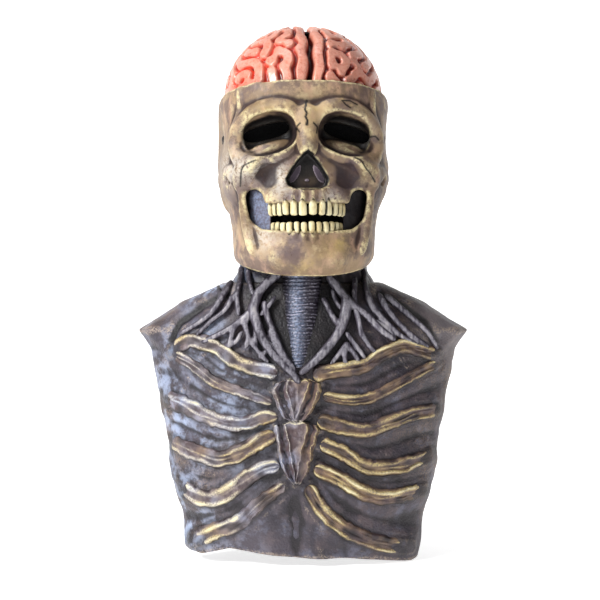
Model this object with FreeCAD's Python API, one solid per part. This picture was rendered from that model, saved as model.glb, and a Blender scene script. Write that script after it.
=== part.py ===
"""A full-head latex skeleton mask with an open brain, a hinged jaw and a rib-cage bib, in millimetres.

The origin is the crown seat: the centre of the flat underside of the foam pad that rests on the wearer's crown.
+X is the viewer's right of the mask, +Y runs from its face to its back, +Z is up.
"""
import FreeCAD
import Part
import math
import os

from FreeCAD import Vector as V

# ---- driving dimensions --------------------------------------------------------------------------
LATEX = 4.0                 # wall of the cast skins
BRAIN_WALL = 6.0            # the brain dome is cast thicker, so that its grooves hold
HEAD_YAW = 2.5              # the head is stood a little turned on its neck, degrees
RIM_Z, RIM_SLOPE = -75.0, 0.15      # plane of the sawn skull rim: z = RIM_Z - RIM_SLOPE * y
FACE_SEAM_Y = -35.0         # the face casting ends and the cranium casting begins
SKULL_BASE_Z = -172.0       # the cranium ends and the neck skin begins
TOOTH_LINE_Z = -203.0       # biting edge of the upper teeth
LOWER_TOOTH_Z = -209.5      # biting edge of the lower teeth, mouth at rest
TOOTH_HEIGHT = 16.0
JAW_TOP_Z = LOWER_TOOTH_Z - TOOTH_HEIGHT
RAMUS_TOP_Z = -178.0        # upper edge of the jaw's sides, in front of the hinge
CHEEK_HALF, CHEEK_FOOT_Z = 62.0, -214.0     # the open cheek hollows reach this far out and down
HINGE_Y, HINGE_Z = 10.0, -168.0     # jaw hinge axis, across the head
HINGE_LUG_R = 17.0          # round top of the jaw's ramus, about the hinge
HINGE_BOSS_R = 9.0
HINGE_PIN_R = 3.0
HINGE_GAP = 0.05            # running clearance of the pin in the lug, on radius
JAW_CLEARANCE = 2.5
EYE_X, EYE_Z, EYE_TILT = 41.5, -117.0, 15.0
SOCKET_BACK_Y = -76.0       # front face of the sockets' back walls
BEDDED = {                  # soft pieces that are bedded round what they touch
    "brow_pad": ["brain_cap"], "chin_cup": ["jaw_shell"], "nose_cartilage": ["face_shell"],
    "cheek_web_left": ["face_shell"], "cheek_web_right": ["face_shell"],
    "temple_pad_left": ["pivot_plate_left", "jaw_pin_left"],
    "temple_pad_right": ["pivot_plate_right", "jaw_pin_right"]}
NECK_FOOT_Z = -272.0        # the neck skin ends and the bibs begin
HEM_Z = -575.0
BACK_HEM_Z = -540.0
BONE_THICK = 6.0            # how far bones stand off the bib
BAND_THICK = 3.0            # how far tapes and patches stand off the skin
SLIT_HALF = 1.5
SLIT_TOP_Z, SLIT_FOOT_Z = -190.0, -420.0
GLUE = 0.3                  # gap kept between bonded curved faces

# The head's outer shape: (height, half width, front, back) from above the rim down to the chin.
HEAD_SECTIONS = [
    (-40, 86, -96, 102), (-75, 94, -104, 108), (-110, 95, -102, 110), (-145, 95, -101, 108),
    (-172, 92, -102, 104), (-190, 83, -104, 98), (-212, 79, -107, 92), (-244, 77, -110, 84),
    (-263, 64, -104, 70),
]
HEAD_POWER = 2.5            # 2 is an ellipse, more is boxier
# The neck's outer shape, the same way. It passes up inside the jaw to the skull's base.
NECK_SECTIONS = [
    (-173, 83, -56, 103), (-183, 77, -58, 99), (-195, 73, -59, 94), (-220, 70, -58, 84), (-244, 69, -57, 76),
    (-256, 71, -58, 74), (-272, 80, -60, 74),
]
NECK_POWER = 2.2
# The brain dome is an ellipsoid about this centre.
BRAIN_CENTRE_Z = -67.0
BRAIN_HALF = (87.0, 99.0, 80.0)
# The bust: (height, half width, front depth, back depth, front edge, back edge, fullness).
BUST_SECTIONS = [
    (-268, 81, -60, 74, 4.8, 5.2, 2.0), (-280, 106, -64, 78, 4.8, 5.2, 1.9),
    (-293, 137, -68, 82, 4.8, 5.2, 1.7), (-311, 160, -72, 87, 4.8, 5.2, 1.5),
    (-324, 182, -75, 90, 4.8, 5.2, 1.4), (-345, 169, -79, 93, 0, 14, 1.5),
    (-380, 163, -82, 96, -4, 20, 1.6), (-420, 156, -84, 97, -6, 24, 1.7),
    (-460, 148, -85, 96, -8, 26, 1.7), (-500, 140, -84, 93, -10, 28, 1.7),
    (-540, 131, -80, 89, -12, 30, 1.6), (-575, 125, -75, 85, -14, 32, 1.6),
]

# Bones of the chest, each as points along its middle (x, z) with its half height at each end.
CLAVICLES = {
    "clavicle_left": ([(-140, -343), (-120, -335), (-96, -341), (-74, -355), (-52, -363), (-27, -369)], 6, 7),
    "clavicle_right": ([(10, -371), (34, -366), (62, -362), (84, -350), (106, -341), (126, -345), (146, -351)], 7, 6),
}
RIBS = {
    "rib_1_left": ([(-141, -350), (-118, -362), (-94, -379), (-62, -390), (-33, -400)], 5, 4),
    "rib_2_left": ([(-151, -399), (-125, -406), (-96, -419), (-68, -423), (-44, -416), (-27, -414)], 8, 6),
    "rib_3_left": ([(-144, -448), (-118, -455), (-90, -461), (-66, -453), (-44, -440), (-29, -434)], 8, 7),
    "rib_4_left": ([(-137, -494), (-112, -505), (-86, -500), (-62, -482), (-42, -469), (-25, -466)], 9, 6),
    "rib_5_left": ([(-124, -556), (-98, -541), (-68, -528), (-46, -507), (-20, -486)], 9, 5),
    "rib_1_right": ([(21, -393), (46, -397), (72, -395), (98, -383), (124, -370), (147, -360)], 5, 4),
    "rib_2_right": ([(15, -418), (42, -426), (68, -430), (95, -421), (122, -414), (147, -412)], 7, 6),
    "rib_3_right": ([(18, -443), (42, -453), (66, -468), (92, -470), (116, -467), (141, -460)], 7, 7),
    "rib_4_right": ([(12, -468), (38, -480), (64, -496), (92, -502), (132, -498)], 7, 7),
    "rib_5_right": ([(5, -487), (20, -513), (44, -534), (76, -550), (116, -560)], 6, 8),
}
MANUBRIUM = [(-32, -384), (-26, -377), (-8, -379), (6, -376), (18, -384), (16, -396), (5, -416), (-10, -419),
             (-21, -414)]
STERNUM = [(-31, -425), (-8, -420), (16, -430), (12, -447), (5, -472), (-8, -485), (-20, -470), (-27, -446)]
# Neck cords: points (x, y, z) and the radius at each end.
CORDS = {
    "neck_tendon_left": ([(-32, -59, -268), (-52, -66, -292), (-40, -71, -335), (-12, -80, -373)], 5, 4),
    "neck_tendon_right": ([(32, -59, -268), (46, -66, -300), (34, -72, -328), (4, -80, -368)], 5, 4),
}
STRANDS = {
    "neck_strands_left": [
        [(-57, -50, -272), (-62, -66, -302), (-96, -64, -330)],
        [(-68, -36, -272), (-80, -59, -296), (-126, -53, -330)],
        [(-44, -64, -290), (-66, -72, -322), (-84, -70, -342)],
        [(-46, -69, -308), (-48, -77, -336), (-58, -77, -350)],
    ],
    "neck_strands_right": [
        [(52, -52, -262), (60, -66, -300), (90, -66, -330)],
        [(66, -38, -272), (80, -59, -296), (124, -53, -330)],
        [(42, -66, -296), (58, -72, -322), (70, -76, -345)],
        [(40, -70, -312), (44, -77, -336), (40, -79, -354)],
    ],
}
TRACHEA_TOP, TRACHEA_FOOT = (0, -50, -250), (-4, -66, -366)
TRACHEA_R = (21.0, 11.0)    # radius at the top and at the foot
TRACHEA_RINGS = 15


# ---- general helpers -----------------------------------------------------------------------------
def box(x0, x1, y0, y1, z0, z1):
    return Part.makeBox(x1 - x0, y1 - y0, z1 - z0, V(x0, y0, z0))


def closed_curve(points):
    curve = Part.BSplineCurve()
    curve.interpolate([V(*p) for p in points], PeriodicFlag=True)
    return Part.Wire([curve.toShape()])


def open_edge(points):
    curve = Part.BSplineCurve()
    curve.interpolate([V(*p) for p in points])
    return curve.toShape()


def rounded(t, power):
    """sign(t) |t| ** (2 / power), which turns a circle into a boxier ring."""
    return math.copysign(abs(t) ** (2.0 / power), t)


def ring(section, inset, power, count=28):
    z, half, front, back = section
    middle, depth = (front + back) / 2.0, (back - front) / 2.0 - inset
    turns = [2 * math.pi * k / count for k in range(count)]
    return closed_curve([((half - inset) * rounded(math.cos(a), power),
                          middle + depth * rounded(math.sin(a), power), z) for a in turns])


def stack(sections, inset, power):
    return Part.makeLoft([ring(s, inset, power) for s in sections], True, False)


def ellipsoid(half, centre):
    grow = FreeCAD.Matrix()
    grow.scale(*half)
    ball = Part.makeSphere(1.0).transformGeometry(grow)
    ball.translate(V(*centre))
    return ball


def above_rim(offset=0.0):
    """Everything over the plane of the sawn rim, raised by offset."""
    block = box(-200, 200, -200, 200, 0, 300)
    block.rotate(V(0, 0, 0), V(1, 0, 0), -math.degrees(math.atan(RIM_SLOPE)))
    block.translate(V(0, 0, RIM_Z + offset))
    return block


def side_prism(points, half):
    """A prism across the head, from a closed outline of (y, z) points."""
    corners = [V(-half, y, z) for y, z in points]
    face = Part.Face(Part.makePolygon(corners + corners[:1]))
    return face.extrude(V(2 * half, 0, 0))


def front_prism(points, y0, y1):
    """A prism from front to back, from a closed smooth outline of (x, z) points."""
    return Part.Face(closed_curve([(x, y0, z) for x, z in points])).extrude(V(0, y1 - y0, 0))


def across(radius, x0, x1, y=HINGE_Y, z=HINGE_Z):
    return Part.makeCylinder(radius, x1 - x0, V(x0, y, z), V(1, 0, 0))


def oval_rod(half_x, half_z, centre, length):
    """An elliptical rod along +Y, from its centre's y onward."""
    big, small = max(half_x, half_z), min(half_x, half_z)
    normal, major = V(0, 1, 0), V(1, 0, 0) if half_x >= half_z else V(0, 0, 1)
    outline = Part.Ellipse(V(*centre) + major * big, V(*centre) + normal.cross(major) * small, V(*centre))
    return Part.Face(Part.Wire([outline.toShape()])).extrude(V(0, length, 0))


def mirror_x(shape):
    return shape.mirror(V(0, 0, 0), V(1, 0, 0))


def turn_head(shape):
    """Stands a head piece at the head's yaw."""
    turned = shape.copy()
    turned.rotate(V(0, 0, 0), V(0, 0, 1), HEAD_YAW)
    return turned


def solids_over(shape, least=60.0):
    """The shape's solids, without slivers under least cubic millimetres."""
    kept = [s for s in shape.Solids if s.Volume > least]
    return kept[0] if len(kept) == 1 else Part.makeCompound(kept)


def save(name, shape):
    shape = solids_over(shape)
    shape.exportStep("parts/%s.step" % name)
    box_now = shape.BoundBox
    print("%-20s solids %2d valid %s volume %8.0f  x %6.1f %6.1f  y %6.1f %6.1f  z %6.1f %6.1f" % (
        name, len(shape.Solids), shape.isValid(), shape.Volume, box_now.XMin, box_now.XMax,
        box_now.YMin, box_now.YMax, box_now.ZMin, box_now.ZMax))


# ---- the jaw's side outline, shared by the jaw and by the room cut for it -------------------------
def jaw_outline(grow=0.0):
    """The jaw seen from the side, as a prism with a round lug about the hinge, grown by grow all round."""
    g = grow
    body = side_prism([
        (-140, RAMUS_TOP_Z + g), (HINGE_Y - HINGE_LUG_R - g, RAMUS_TOP_Z + g), (HINGE_Y, HINGE_Z),
        (HINGE_Y + HINGE_LUG_R + g, HINGE_Z), (26 + g, -205), (22 + g, -232), (6 + g, -247 - g),
        (-60, -256 - g), (-140, -272 - g),
    ], 120)
    return body.fuse(across(HINGE_LUG_R + g, -120, 120))


# ---- head pieces, before the head's yaw -----------------------------------------------------------
def head_wall():
    return stack(HEAD_SECTIONS, 0, HEAD_POWER).cut(stack(HEAD_SECTIONS, LATEX, HEAD_POWER))


def eye_rod(side, half_x, half_z, y, z, depth):
    """An oval rod into the head at an eye, tilted down towards its outer corner."""
    rod = oval_rod(half_x, half_z, (0, 0, 0), depth)
    rod.rotate(V(0, 0, 0), V(0, 1, 0), EYE_TILT)
    rod.translate(V(EYE_X, y, z))
    return rod if side > 0 else mirror_x(rod)


def socket(side, inset, depth):
    return eye_rod(side, 29 - inset, 20 - inset, -112, EYE_Z, depth)


def eye_slit(side):
    """The opening that the wearer looks through, in the upper part of a socket's back wall."""
    return eye_rod(side, 25, 8, -112, EYE_Z + 5, 60)


def face_shell(wall):
    face = wall.common(box(-120, 120, -140, FACE_SEAM_Y - GLUE / 2, TOOTH_LINE_Z + TOOTH_HEIGHT, 0))
    face = face.cut(above_rim())
    lower_cheeks = side_prism([(-140, -172), (FACE_SEAM_Y + 5, -166), (FACE_SEAM_Y + 5, -230), (-140, -230)], 120)
    muzzle = box(-50, 50, -140, 0, -260, -100)
    face = face.cut(lower_cheeks.cut(muzzle))
    for side in (-1, 1):
        cup = socket(side, -3, 112 + SOCKET_BACK_Y + 3)
        cup = cup.common(stack(HEAD_SECTIONS, 0.5, HEAD_POWER))
        face = face.fuse(cup).cut(socket(side, 0, 112 + SOCKET_BACK_Y)).cut(eye_slit(side))
    gum_z = TOOTH_LINE_Z + TOOTH_HEIGHT
    arch = tooth_arch_band(47, 52, 40, 45, gum_z, -173)
    palate = stack(HEAD_SECTIONS, 0, HEAD_POWER).common(box(-52, 52, -140, -62, -177, -173))
    palate = palate.cut(oval_column(40, 45, -300, -100, -60))
    return face.cut(nose_opening()).fuse(arch).fuse(palate)


def tooth_arch_band(outer_x, outer_y, inner_x, inner_y, z0, z1):
    """The front half of an elliptical band, which carries the upper teeth."""
    band = oval_column(outer_x, outer_y, z0, z1, -60).cut(oval_column(inner_x, inner_y, z0, z1, -60))
    return band.common(box(-80, 80, -140, -62, z0, z1))


def nose_opening():
    return front_prism([(0, -130), (12, -146), (21, -164), (22, -176), (10, -181), (-10, -181), (-22, -176),
                        (-21, -164), (-12, -146)], -140, -60)


def cranium_shell(wall):
    shell = wall.common(box(-120, 120, FACE_SEAM_Y + GLUE / 2, 140, SKULL_BASE_Z, 0)).cut(above_rim())
    return shell.cut(jaw_outline(JAW_CLEARANCE))


def brain_cap():
    inner = ellipsoid([h - BRAIN_WALL for h in BRAIN_HALF], (0, 0, BRAIN_CENTRE_Z))
    shell = ellipsoid(BRAIN_HALF, (0, 0, BRAIN_CENTRE_Z)).cut(inner)
    fissure = box(-2.2, 2.2, -120, 120, -120, 60).cut(
        ellipsoid([h - 3.5 for h in BRAIN_HALF], (0, 0, BRAIN_CENTRE_Z)))
    shell = shell.cut(fissure)
    seat = stack(HEAD_SECTIONS, LATEX + GLUE, HEAD_POWER).cut(above_rim(-4)).common(above_rim(-14))
    hollow = oval_column(BRAIN_HALF[0] - BRAIN_WALL + 1, BRAIN_HALF[1] - BRAIN_WALL + 1, -140, 0)
    return shell.common(above_rim(-14)).fuse(seat.cut(hollow))


def oval_column(half_x, half_y, z0, z1, y=0.0):
    """An upright elliptical column about (0, y)."""
    big, small = max(half_x, half_y), min(half_x, half_y)
    major = V(1, 0, 0) if half_x >= half_y else V(0, 1, 0)
    centre = V(0, y, z0)
    outline = Part.Ellipse(centre + major * big, centre + V(0, 0, 1).cross(major) * small, centre)
    return Part.Face(Part.Wire([outline.toShape()])).extrude(V(0, 0, z1 - z0))


def nose_cartilage():
    """The soft nose left in the nasal opening, with two breathing holes."""
    levels = [(-134, 3, -101, 4), (-150, 11, -106, 8), (-166, 17, -112, 12), (-178, 17, -110, 11)]
    wires = [closed_curve([(half * math.cos(a), front + depth + depth * math.sin(a), z)
                           for a in [2 * math.pi * k / 12 for k in range(12)]])
             for z, half, front, depth in levels]
    nose = Part.makeLoft(wires, True, False)
    for side in (-1, 1):
        hole = oval_rod(3.6, 2.8, (side * 8, -140, -172), 80)
        nose = nose.cut(hole)
    return nose


def tooth(x, y, angle, half_width, root_z, tip_z, depth):
    """One tooth: narrow at the gum, full at its crown, with a rounded biting edge."""
    wires = []
    for share, wide, deep in ((0, 0.72, 0.85), (0.45, 1.0, 1.0), (0.85, 0.96, 0.75), (1.0, 0.8, 0.5)):
        z = root_z + share * (tip_z - root_z)
        wires.append(closed_curve([(wide * half_width * rounded(math.cos(a), 2.6),
                                    deep * depth * rounded(math.sin(a), 2.6), z)
                                   for a in [2 * math.pi * k / 12 for k in range(12)]]))
    solid = Part.makeLoft(wires, True, False)
    solid.rotate(V(0, 0, 0), V(0, 0, 1), angle)
    solid.translate(V(x, y, 0))
    return solid


def tooth_row(widths, root_z, tip_z, half_x, half_y):
    """A row of teeth set side by side round the front of an elliptical arch, mirrored about its middle."""
    teeth, along = [], 0.0
    for width in widths:
        middle, travelled, turn = along + width / 2.0, 0.0, 0.0
        while travelled < middle:
            turn += 0.002
            travelled += 0.002 * math.hypot(half_x * math.cos(turn), half_y * math.sin(turn))
        x, y = half_x * math.sin(turn), -60 - half_y * math.cos(turn)
        angle = math.degrees(math.atan2(half_y * math.sin(turn), half_x * math.cos(turn)))
        for side in (-1, 1):
            teeth.append(tooth(side * x, y, side * angle, width / 2.0 - 0.35, root_z, tip_z, 3.6))
        along += width
    return Part.makeCompound(teeth)


def jaw_shell(wall):
    """The U of the lower jaw: two broad sides with hinge bosses, the chin, and the shelf under the teeth."""
    jaw = wall.common(jaw_outline()).common(box(-120, 120, -140, 60, -275, 0))
    jaw = jaw.cut(box(-CHEEK_HALF, CHEEK_HALF, -140, -40, CHEEK_FOOT_Z, -150))
    jaw = jaw.cut(box(-48, 48, -140, -40, JAW_TOP_Z, -150))
    arch = tooth_arch_band(45, 49, 38, 42, JAW_TOP_Z - 14, JAW_TOP_Z)
    shelf = stack(HEAD_SECTIONS, 0, HEAD_POWER).common(box(-120, 120, -140, -62, JAW_TOP_Z - 5, JAW_TOP_Z - 1))
    shelf = shelf.cut(oval_column(38, 42, -300, -200, -60))
    jaw = jaw.fuse(shelf).fuse(arch)
    for side in (-1, 1):
        boss, bore = across(HINGE_BOSS_R, 84, 90), across(HINGE_PIN_R + HINGE_GAP, 80, 90)
        if side < 0:
            boss, bore = mirror_x(boss), mirror_x(bore)
        jaw = jaw.fuse(boss).cut(bore)
    return jaw


def cheek_web(side):
    """The thin latex web inside a cheek hollow, hung from the edge of the face."""
    web = oval_column(66, 52, -212, -174, -38).cut(oval_column(64, 50, -212, -174, -38))
    web = web.common(box(45, 80, -90, -44, -212, -174))
    return web if side > 0 else mirror_x(web)


def eye_screen(side):
    return eye_rod(side, 29, 15, SOCKET_BACK_Y + 3 + GLUE, EYE_Z + 4, 1.2)


def mouth_screen():
    """Black mesh behind the teeth, hung from the upper jaw."""
    return tooth_arch_band(37, 30, 36, 29, -226, -184)


def jaw_pivot(side, cavity):
    """The plate bonded inside the head that holds a hinge pin, and the headed pin that the jaw's boss turns on."""
    plate = box(80.2, 83.2, HINGE_Y - 11, HINGE_Y + 11, HINGE_Z, -138).fuse(across(11, 80.2, 83.2))
    foot = box(83.2, 100, HINGE_Y - 11, HINGE_Y + 11, -148, -138).common(cavity)
    plate = plate.fuse(foot).cut(across(HINGE_PIN_R, 70, 100))
    pin = across(HINGE_PIN_R, 80.2, 89).fuse(across(6, 78.2, 80.2))
    return (plate, pin) if side > 0 else (mirror_x(plate), mirror_x(pin))


def clear_of(shape, others):
    """The shape with its neighbours' room cut out of it."""
    for other in others:
        if shape.BoundBox.intersect(other.BoundBox):
            shape = shape.cut(other)
    return shape


def inside_head(inset):
    return stack(HEAD_SECTIONS, LATEX + inset, HEAD_POWER)


def crown_pad():
    inner = ellipsoid([h - BRAIN_WALL - GLUE for h in BRAIN_HALF], (0, 0, BRAIN_CENTRE_Z))
    return inner.common(box(-100, 100, -100, 100, 0, 30))


def wall_pad(thick, region):
    """A foam pad lining the inside of the head within a region."""
    return inside_head(GLUE).cut(inside_head(GLUE + thick)).common(region)


def head_strap():
    """Elastic that runs round the back of the head, from one temple pad to the other."""
    band = inside_head(GLUE).cut(inside_head(GLUE + 1.6))
    return band.common(box(-120, 120, 32, 140, -150, -125))


# ---- bust pieces ------------------------------------------------------------------------------------
def bust_curve(section, side, inset):
    """One sheet's section at a height, from its left edge round the chest (side -1) or the back (side 1)."""
    z, half, front, back, front_edge, back_edge, full = section
    edge, middle = (front_edge, front) if side < 0 else (back_edge, back)
    half, deep = half - inset, abs(middle - edge) - inset
    power = 1.0 / full
    points = []
    for k in range(17):
        t = -1 + k / 8.0
        x = math.sin(t * math.pi / 2)
        points.append((x * half, edge + side * deep * (1 - abs(x) ** 2.2) ** power if abs(x) < 1 else edge, z))
    return points


def bust_sheet(side, outset, inset, floor_z):
    """The sheet between two offsets of the bust's front or back. outset None fills it to the edge plane."""
    wires = []
    for section in BUST_SECTIONS:
        outer = bust_curve(section, side, -outset)
        edges = [open_edge(outer)]
        if inset is None:
            edges.append(Part.makeLine(V(*outer[-1]), V(*outer[0])))
        else:
            inner = bust_curve(section, side, inset)
            edges += [Part.makeLine(V(*outer[-1]), V(*inner[-1])), open_edge(inner[::-1]),
                      Part.makeLine(V(*inner[0]), V(*outer[0]))]
        wires.append(Part.Wire(edges))
    return Part.makeLoft(wires, True, False).common(box(-220, 220, -150, 150, floor_z, 0))


def hem_cut():
    """What is cut away below the front bib's wavy hem."""
    return front_prism([(-150, -568), (-125, -562), (-109, -566), (-80, -558), (-42, -562), (-6, -566), (40, -567),
                        (78, -570), (118, -575.5), (150, -566), (160, -640), (-160, -640)], -140, 20)


def back_slit():
    return box(-SLIT_HALF, SLIT_HALF, 20, 160, SLIT_FOOT_Z, SLIT_TOP_Z)


def bone(layer, points, start_half, end_half):
    """A bone cut from a layer over the bib: a smooth strip along points, with the given half heights."""
    count, upper, lower = len(points), [], []
    for k, (x, z) in enumerate(points):
        before, after = points[max(k - 1, 0)], points[min(k + 1, count - 1)]
        length = math.hypot(after[0] - before[0], after[1] - before[1])
        nx, nz = -(after[1] - before[1]) / length, (after[0] - before[0]) / length
        half = start_half + (end_half - start_half) * k / (count - 1.0)
        upper.append((x + nx * half, z + nz * half))
        lower.append((x - nx * half, z - nz * half))
    edges = [open_edge([(x, -160, z) for x, z in upper]),
             Part.makeLine(V(upper[-1][0], -160, upper[-1][1]), V(lower[-1][0], -160, lower[-1][1])),
             open_edge([(x, -160, z) for x, z in lower[::-1]]),
             Part.makeLine(V(lower[0][0], -160, lower[0][1]), V(upper[0][0], -160, upper[0][1]))]
    strip = Part.Face(Part.Wire(edges)).extrude(V(0, 160, 0))
    return layer.common(strip)


def cord(points, start_r, end_r):
    """A tapering neck cord: one smooth solid through round sections along its points."""
    count, rings = len(points), []
    for k in range(count):
        here = V(*points[k])
        before, after = V(*points[max(k - 1, 0)]), V(*points[min(k + 1, count - 1)])
        radius = start_r + (end_r - start_r) * k / (count - 1.0)
        rings.append(Part.Wire([Part.makeCircle(radius, here, after - before)]))
    return Part.makeLoft(rings, True, False)


def trachea():
    """The ringed windpipe, a revolved profile along its leaning axis."""
    top, foot = V(*TRACHEA_TOP), V(*TRACHEA_FOOT)
    length = (foot - top).Length
    profile = [V(0, 0, 0)]
    for k in range(TRACHEA_RINGS):
        for share, dip in ((0.0, 0.0), (0.75, 0.0), (0.8, 1.6), (0.95, 1.6)):
            along = (k + share) / TRACHEA_RINGS
            radius = TRACHEA_R[0] + (TRACHEA_R[1] - TRACHEA_R[0]) * along ** 2
            profile.append(V(radius - dip, 0, along * length))
    profile += [V(TRACHEA_R[1], 0, length), V(0, 0, length)]
    pipe = Part.Face(Part.makePolygon(profile + profile[:1])).revolve(V(0, 0, 0), V(0, 0, 1), 360)
    lean = FreeCAD.Rotation(V(0, 0, 1), foot - top)
    pipe.Placement = FreeCAD.Placement(top, lean)
    return pipe


def tab_set(z, back_y, width_left, width_right, height):
    """A hook-and-loop tab across the back slit: its sewn anchor, its loop patch and the tab that peels."""
    outer_y = back_y + BAND_THICK
    anchor = box(-width_left, -16, 40, outer_y, z - height / 2, z + height / 2)
    patch = box(4, width_right, 40, outer_y, z - height / 2, z + height / 2)
    tab = box(-14, width_right - 2, outer_y + GLUE, outer_y + GLUE + 2.4, z - height / 2, z + height / 2)
    tab = tab.fuse(Part.makeCylinder(1.35, height, V(-14, outer_y + GLUE + 1.35, z - height / 2)))
    return anchor, patch, tab


def main():
    os.makedirs("parts", exist_ok=True)
    wall = head_wall()
    head = {
        "face_shell": face_shell(wall),
        "cranium_shell": cranium_shell(wall),
        "brain_cap": brain_cap(),
        "nose_cartilage": nose_cartilage(),
        "upper_teeth": tooth_row([9.5, 8.5, 8, 7.5, 6.5, 6], TOOTH_LINE_Z + TOOTH_HEIGHT, TOOTH_LINE_Z, 44, 50),
        "mouth_screen": mouth_screen(),
        "jaw_shell": jaw_shell(wall),
        "lower_teeth": tooth_row([7, 7, 7.5, 7.5, 7, 6.5], JAW_TOP_Z, LOWER_TOOTH_Z, 42, 46),
        "crown_pad": crown_pad(),
        "brow_pad": wall_pad(12, box(-42, 42, -130, -60, -92, -68).common(inside_head(0))),
        "head_strap": head_strap(),
        "chin_cup": wall_pad(14, box(-26, 26, -130, -80, -250, -230)),
    }
    for name, side in (("left", -1), ("right", 1)):
        plate, pin = jaw_pivot(side, inside_head(GLUE))
        head["pivot_plate_" + name] = plate
        head["jaw_pin_" + name] = pin
        head["cheek_web_" + name] = cheek_web(side)
        head["eye_screen_" + name] = eye_screen(side)
        head["temple_pad_" + name] = wall_pad(10, box(min(60 * side, 120 * side), max(60 * side, 120 * side),
                                                      -30, 30, -150, -110))
    for name, neighbours in BEDDED.items():
        head[name] = clear_of(head[name], [head[other] for other in neighbours])
    for name, shape in head.items():
        save(name, turn_head(shape))

    neck = stack(NECK_SECTIONS, 0, NECK_POWER).cut(stack(NECK_SECTIONS, LATEX, NECK_POWER))
    neck = neck.cut(box(-120, 120, -120, -40, -250, -150)).cut(back_slit())
    neck = neck.cut(across(22, 78, 120)).cut(across(22, -120, -78))
    neck_core = stack(NECK_SECTIONS, 0, NECK_POWER)
    front_core = bust_sheet(-1, 0, None, HEM_Z)
    back_core = bust_sheet(1, 0, None, BACK_HEM_Z)
    save("neck_shell", neck.cut(box(-200, 200, -200, 200, -300, NECK_FOOT_Z)))
    below_neck = box(-220, 220, -160, 160, -700, NECK_FOOT_Z)
    front = bust_sheet(-1, 0, LATEX, HEM_Z).common(below_neck).cut(hem_cut())
    back = bust_sheet(1, 0, LATEX, BACK_HEM_Z).common(below_neck).cut(back_slit())
    save("chest_bib", front)
    save("back_bib", back.cut(front))

    layer = bust_sheet(-1, BONE_THICK, None, HEM_Z).cut(front_core).cut(hem_cut())
    bones = [("manubrium", layer.common(front_prism(MANUBRIUM, -160, 0))),
             ("sternum_body", layer.common(front_prism(STERNUM, -160, 0)))]
    for name, (points, start_half, end_half) in list(CLAVICLES.items()) + list(RIBS.items()):
        shape = bone(layer, points, start_half, end_half)
        bones.append((name, clear_of(shape, [other for _, other in bones])))
    for name, shape in bones:
        save(name, shape)
    save("trachea", trachea().cut(neck_core).cut(front_core).common(box(-60, 60, -120, 0, -371, -262)))
    collar_bones = [shape for name, shape in bones if name.startswith("clavicle")]
    tendons = {name: clear_of(cord(*line), [neck_core, front_core] + collar_bones) for name, line in CORDS.items()}
    for name, shape in tendons.items():
        save(name, shape)
    for name, strands in STRANDS.items():
        made = [cord(points, 4, 3) for points in strands]
        made = [clear_of(strand, [neck_core, front_core] + collar_bones + list(tendons.values())) for strand in made]
        for k in range(1, len(made)):
            made[k] = clear_of(made[k], made[:k])
        save(name, Part.makeCompound([solid for shape in made for solid in shape.Solids]))

    for name, z, back_y in (("upper", -258.0, 74.0), ("lower", -345.0, 93.0)):
        anchor, patch, tab = tab_set(z, back_y, 34, 34, 18)
        save("tab_anchor_" + name, anchor.cut(neck_core).cut(back_core))
        save("loop_patch_" + name, patch.cut(neck_core).cut(back_core))
        save("closure_tab_" + name, tab)


main()
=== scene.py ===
"""The looks of a full-head latex skeleton mask: open brain, cracked skull, hinged jaw, sinewy neck, rib bib.

Sculpting is done in millimetres, in the CAD frame. Head pieces are sculpted face-on, then turned by the
head's yaw.
"""
import math

import bpy
import numpy as np
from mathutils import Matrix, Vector


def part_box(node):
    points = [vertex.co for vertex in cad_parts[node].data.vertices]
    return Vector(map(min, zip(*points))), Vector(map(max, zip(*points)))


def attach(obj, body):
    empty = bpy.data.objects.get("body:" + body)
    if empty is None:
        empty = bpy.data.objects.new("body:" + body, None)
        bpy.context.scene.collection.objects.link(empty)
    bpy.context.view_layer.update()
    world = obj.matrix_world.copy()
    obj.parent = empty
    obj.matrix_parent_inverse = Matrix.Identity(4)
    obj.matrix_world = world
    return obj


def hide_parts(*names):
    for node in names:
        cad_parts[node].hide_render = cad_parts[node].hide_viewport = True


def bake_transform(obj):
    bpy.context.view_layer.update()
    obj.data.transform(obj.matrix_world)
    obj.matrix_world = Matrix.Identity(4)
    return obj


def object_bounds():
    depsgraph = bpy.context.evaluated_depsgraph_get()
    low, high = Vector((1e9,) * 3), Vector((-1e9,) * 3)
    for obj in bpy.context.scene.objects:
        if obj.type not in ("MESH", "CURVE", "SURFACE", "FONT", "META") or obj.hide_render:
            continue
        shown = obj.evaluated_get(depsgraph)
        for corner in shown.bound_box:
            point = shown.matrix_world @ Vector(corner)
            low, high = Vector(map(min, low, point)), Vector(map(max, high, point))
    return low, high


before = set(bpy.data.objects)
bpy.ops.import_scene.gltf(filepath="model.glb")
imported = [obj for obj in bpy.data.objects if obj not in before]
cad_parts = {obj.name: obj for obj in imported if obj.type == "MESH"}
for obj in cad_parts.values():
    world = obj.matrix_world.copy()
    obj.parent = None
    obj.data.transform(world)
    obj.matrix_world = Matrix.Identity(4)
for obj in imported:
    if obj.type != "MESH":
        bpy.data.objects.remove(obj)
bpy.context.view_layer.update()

MM = 0.001
HEAD_YAW = math.radians(2.5)
RIM_Z, RIM_SLOPE = -75.0, 0.15
FACE_SEAM_Y = -35.0
SKULL_BASE_Z = -172.0
WALL = 4.0
SOCKET_X, SOCKET_Z, SOCKET_TILT = 41.5, -117.0, math.radians(15)
HEAD_SECTIONS = [               # height, half width, front, back
    (-40, 86, -96, 102), (-75, 94, -104, 108), (-110, 95, -102, 110), (-145, 95, -101, 108),
    (-172, 92, -102, 104), (-190, 83, -104, 98), (-212, 79, -107, 92), (-244, 77, -110, 84),
    (-263, 64, -104, 70),
]
HEAD_POWER = 2.5


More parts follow.
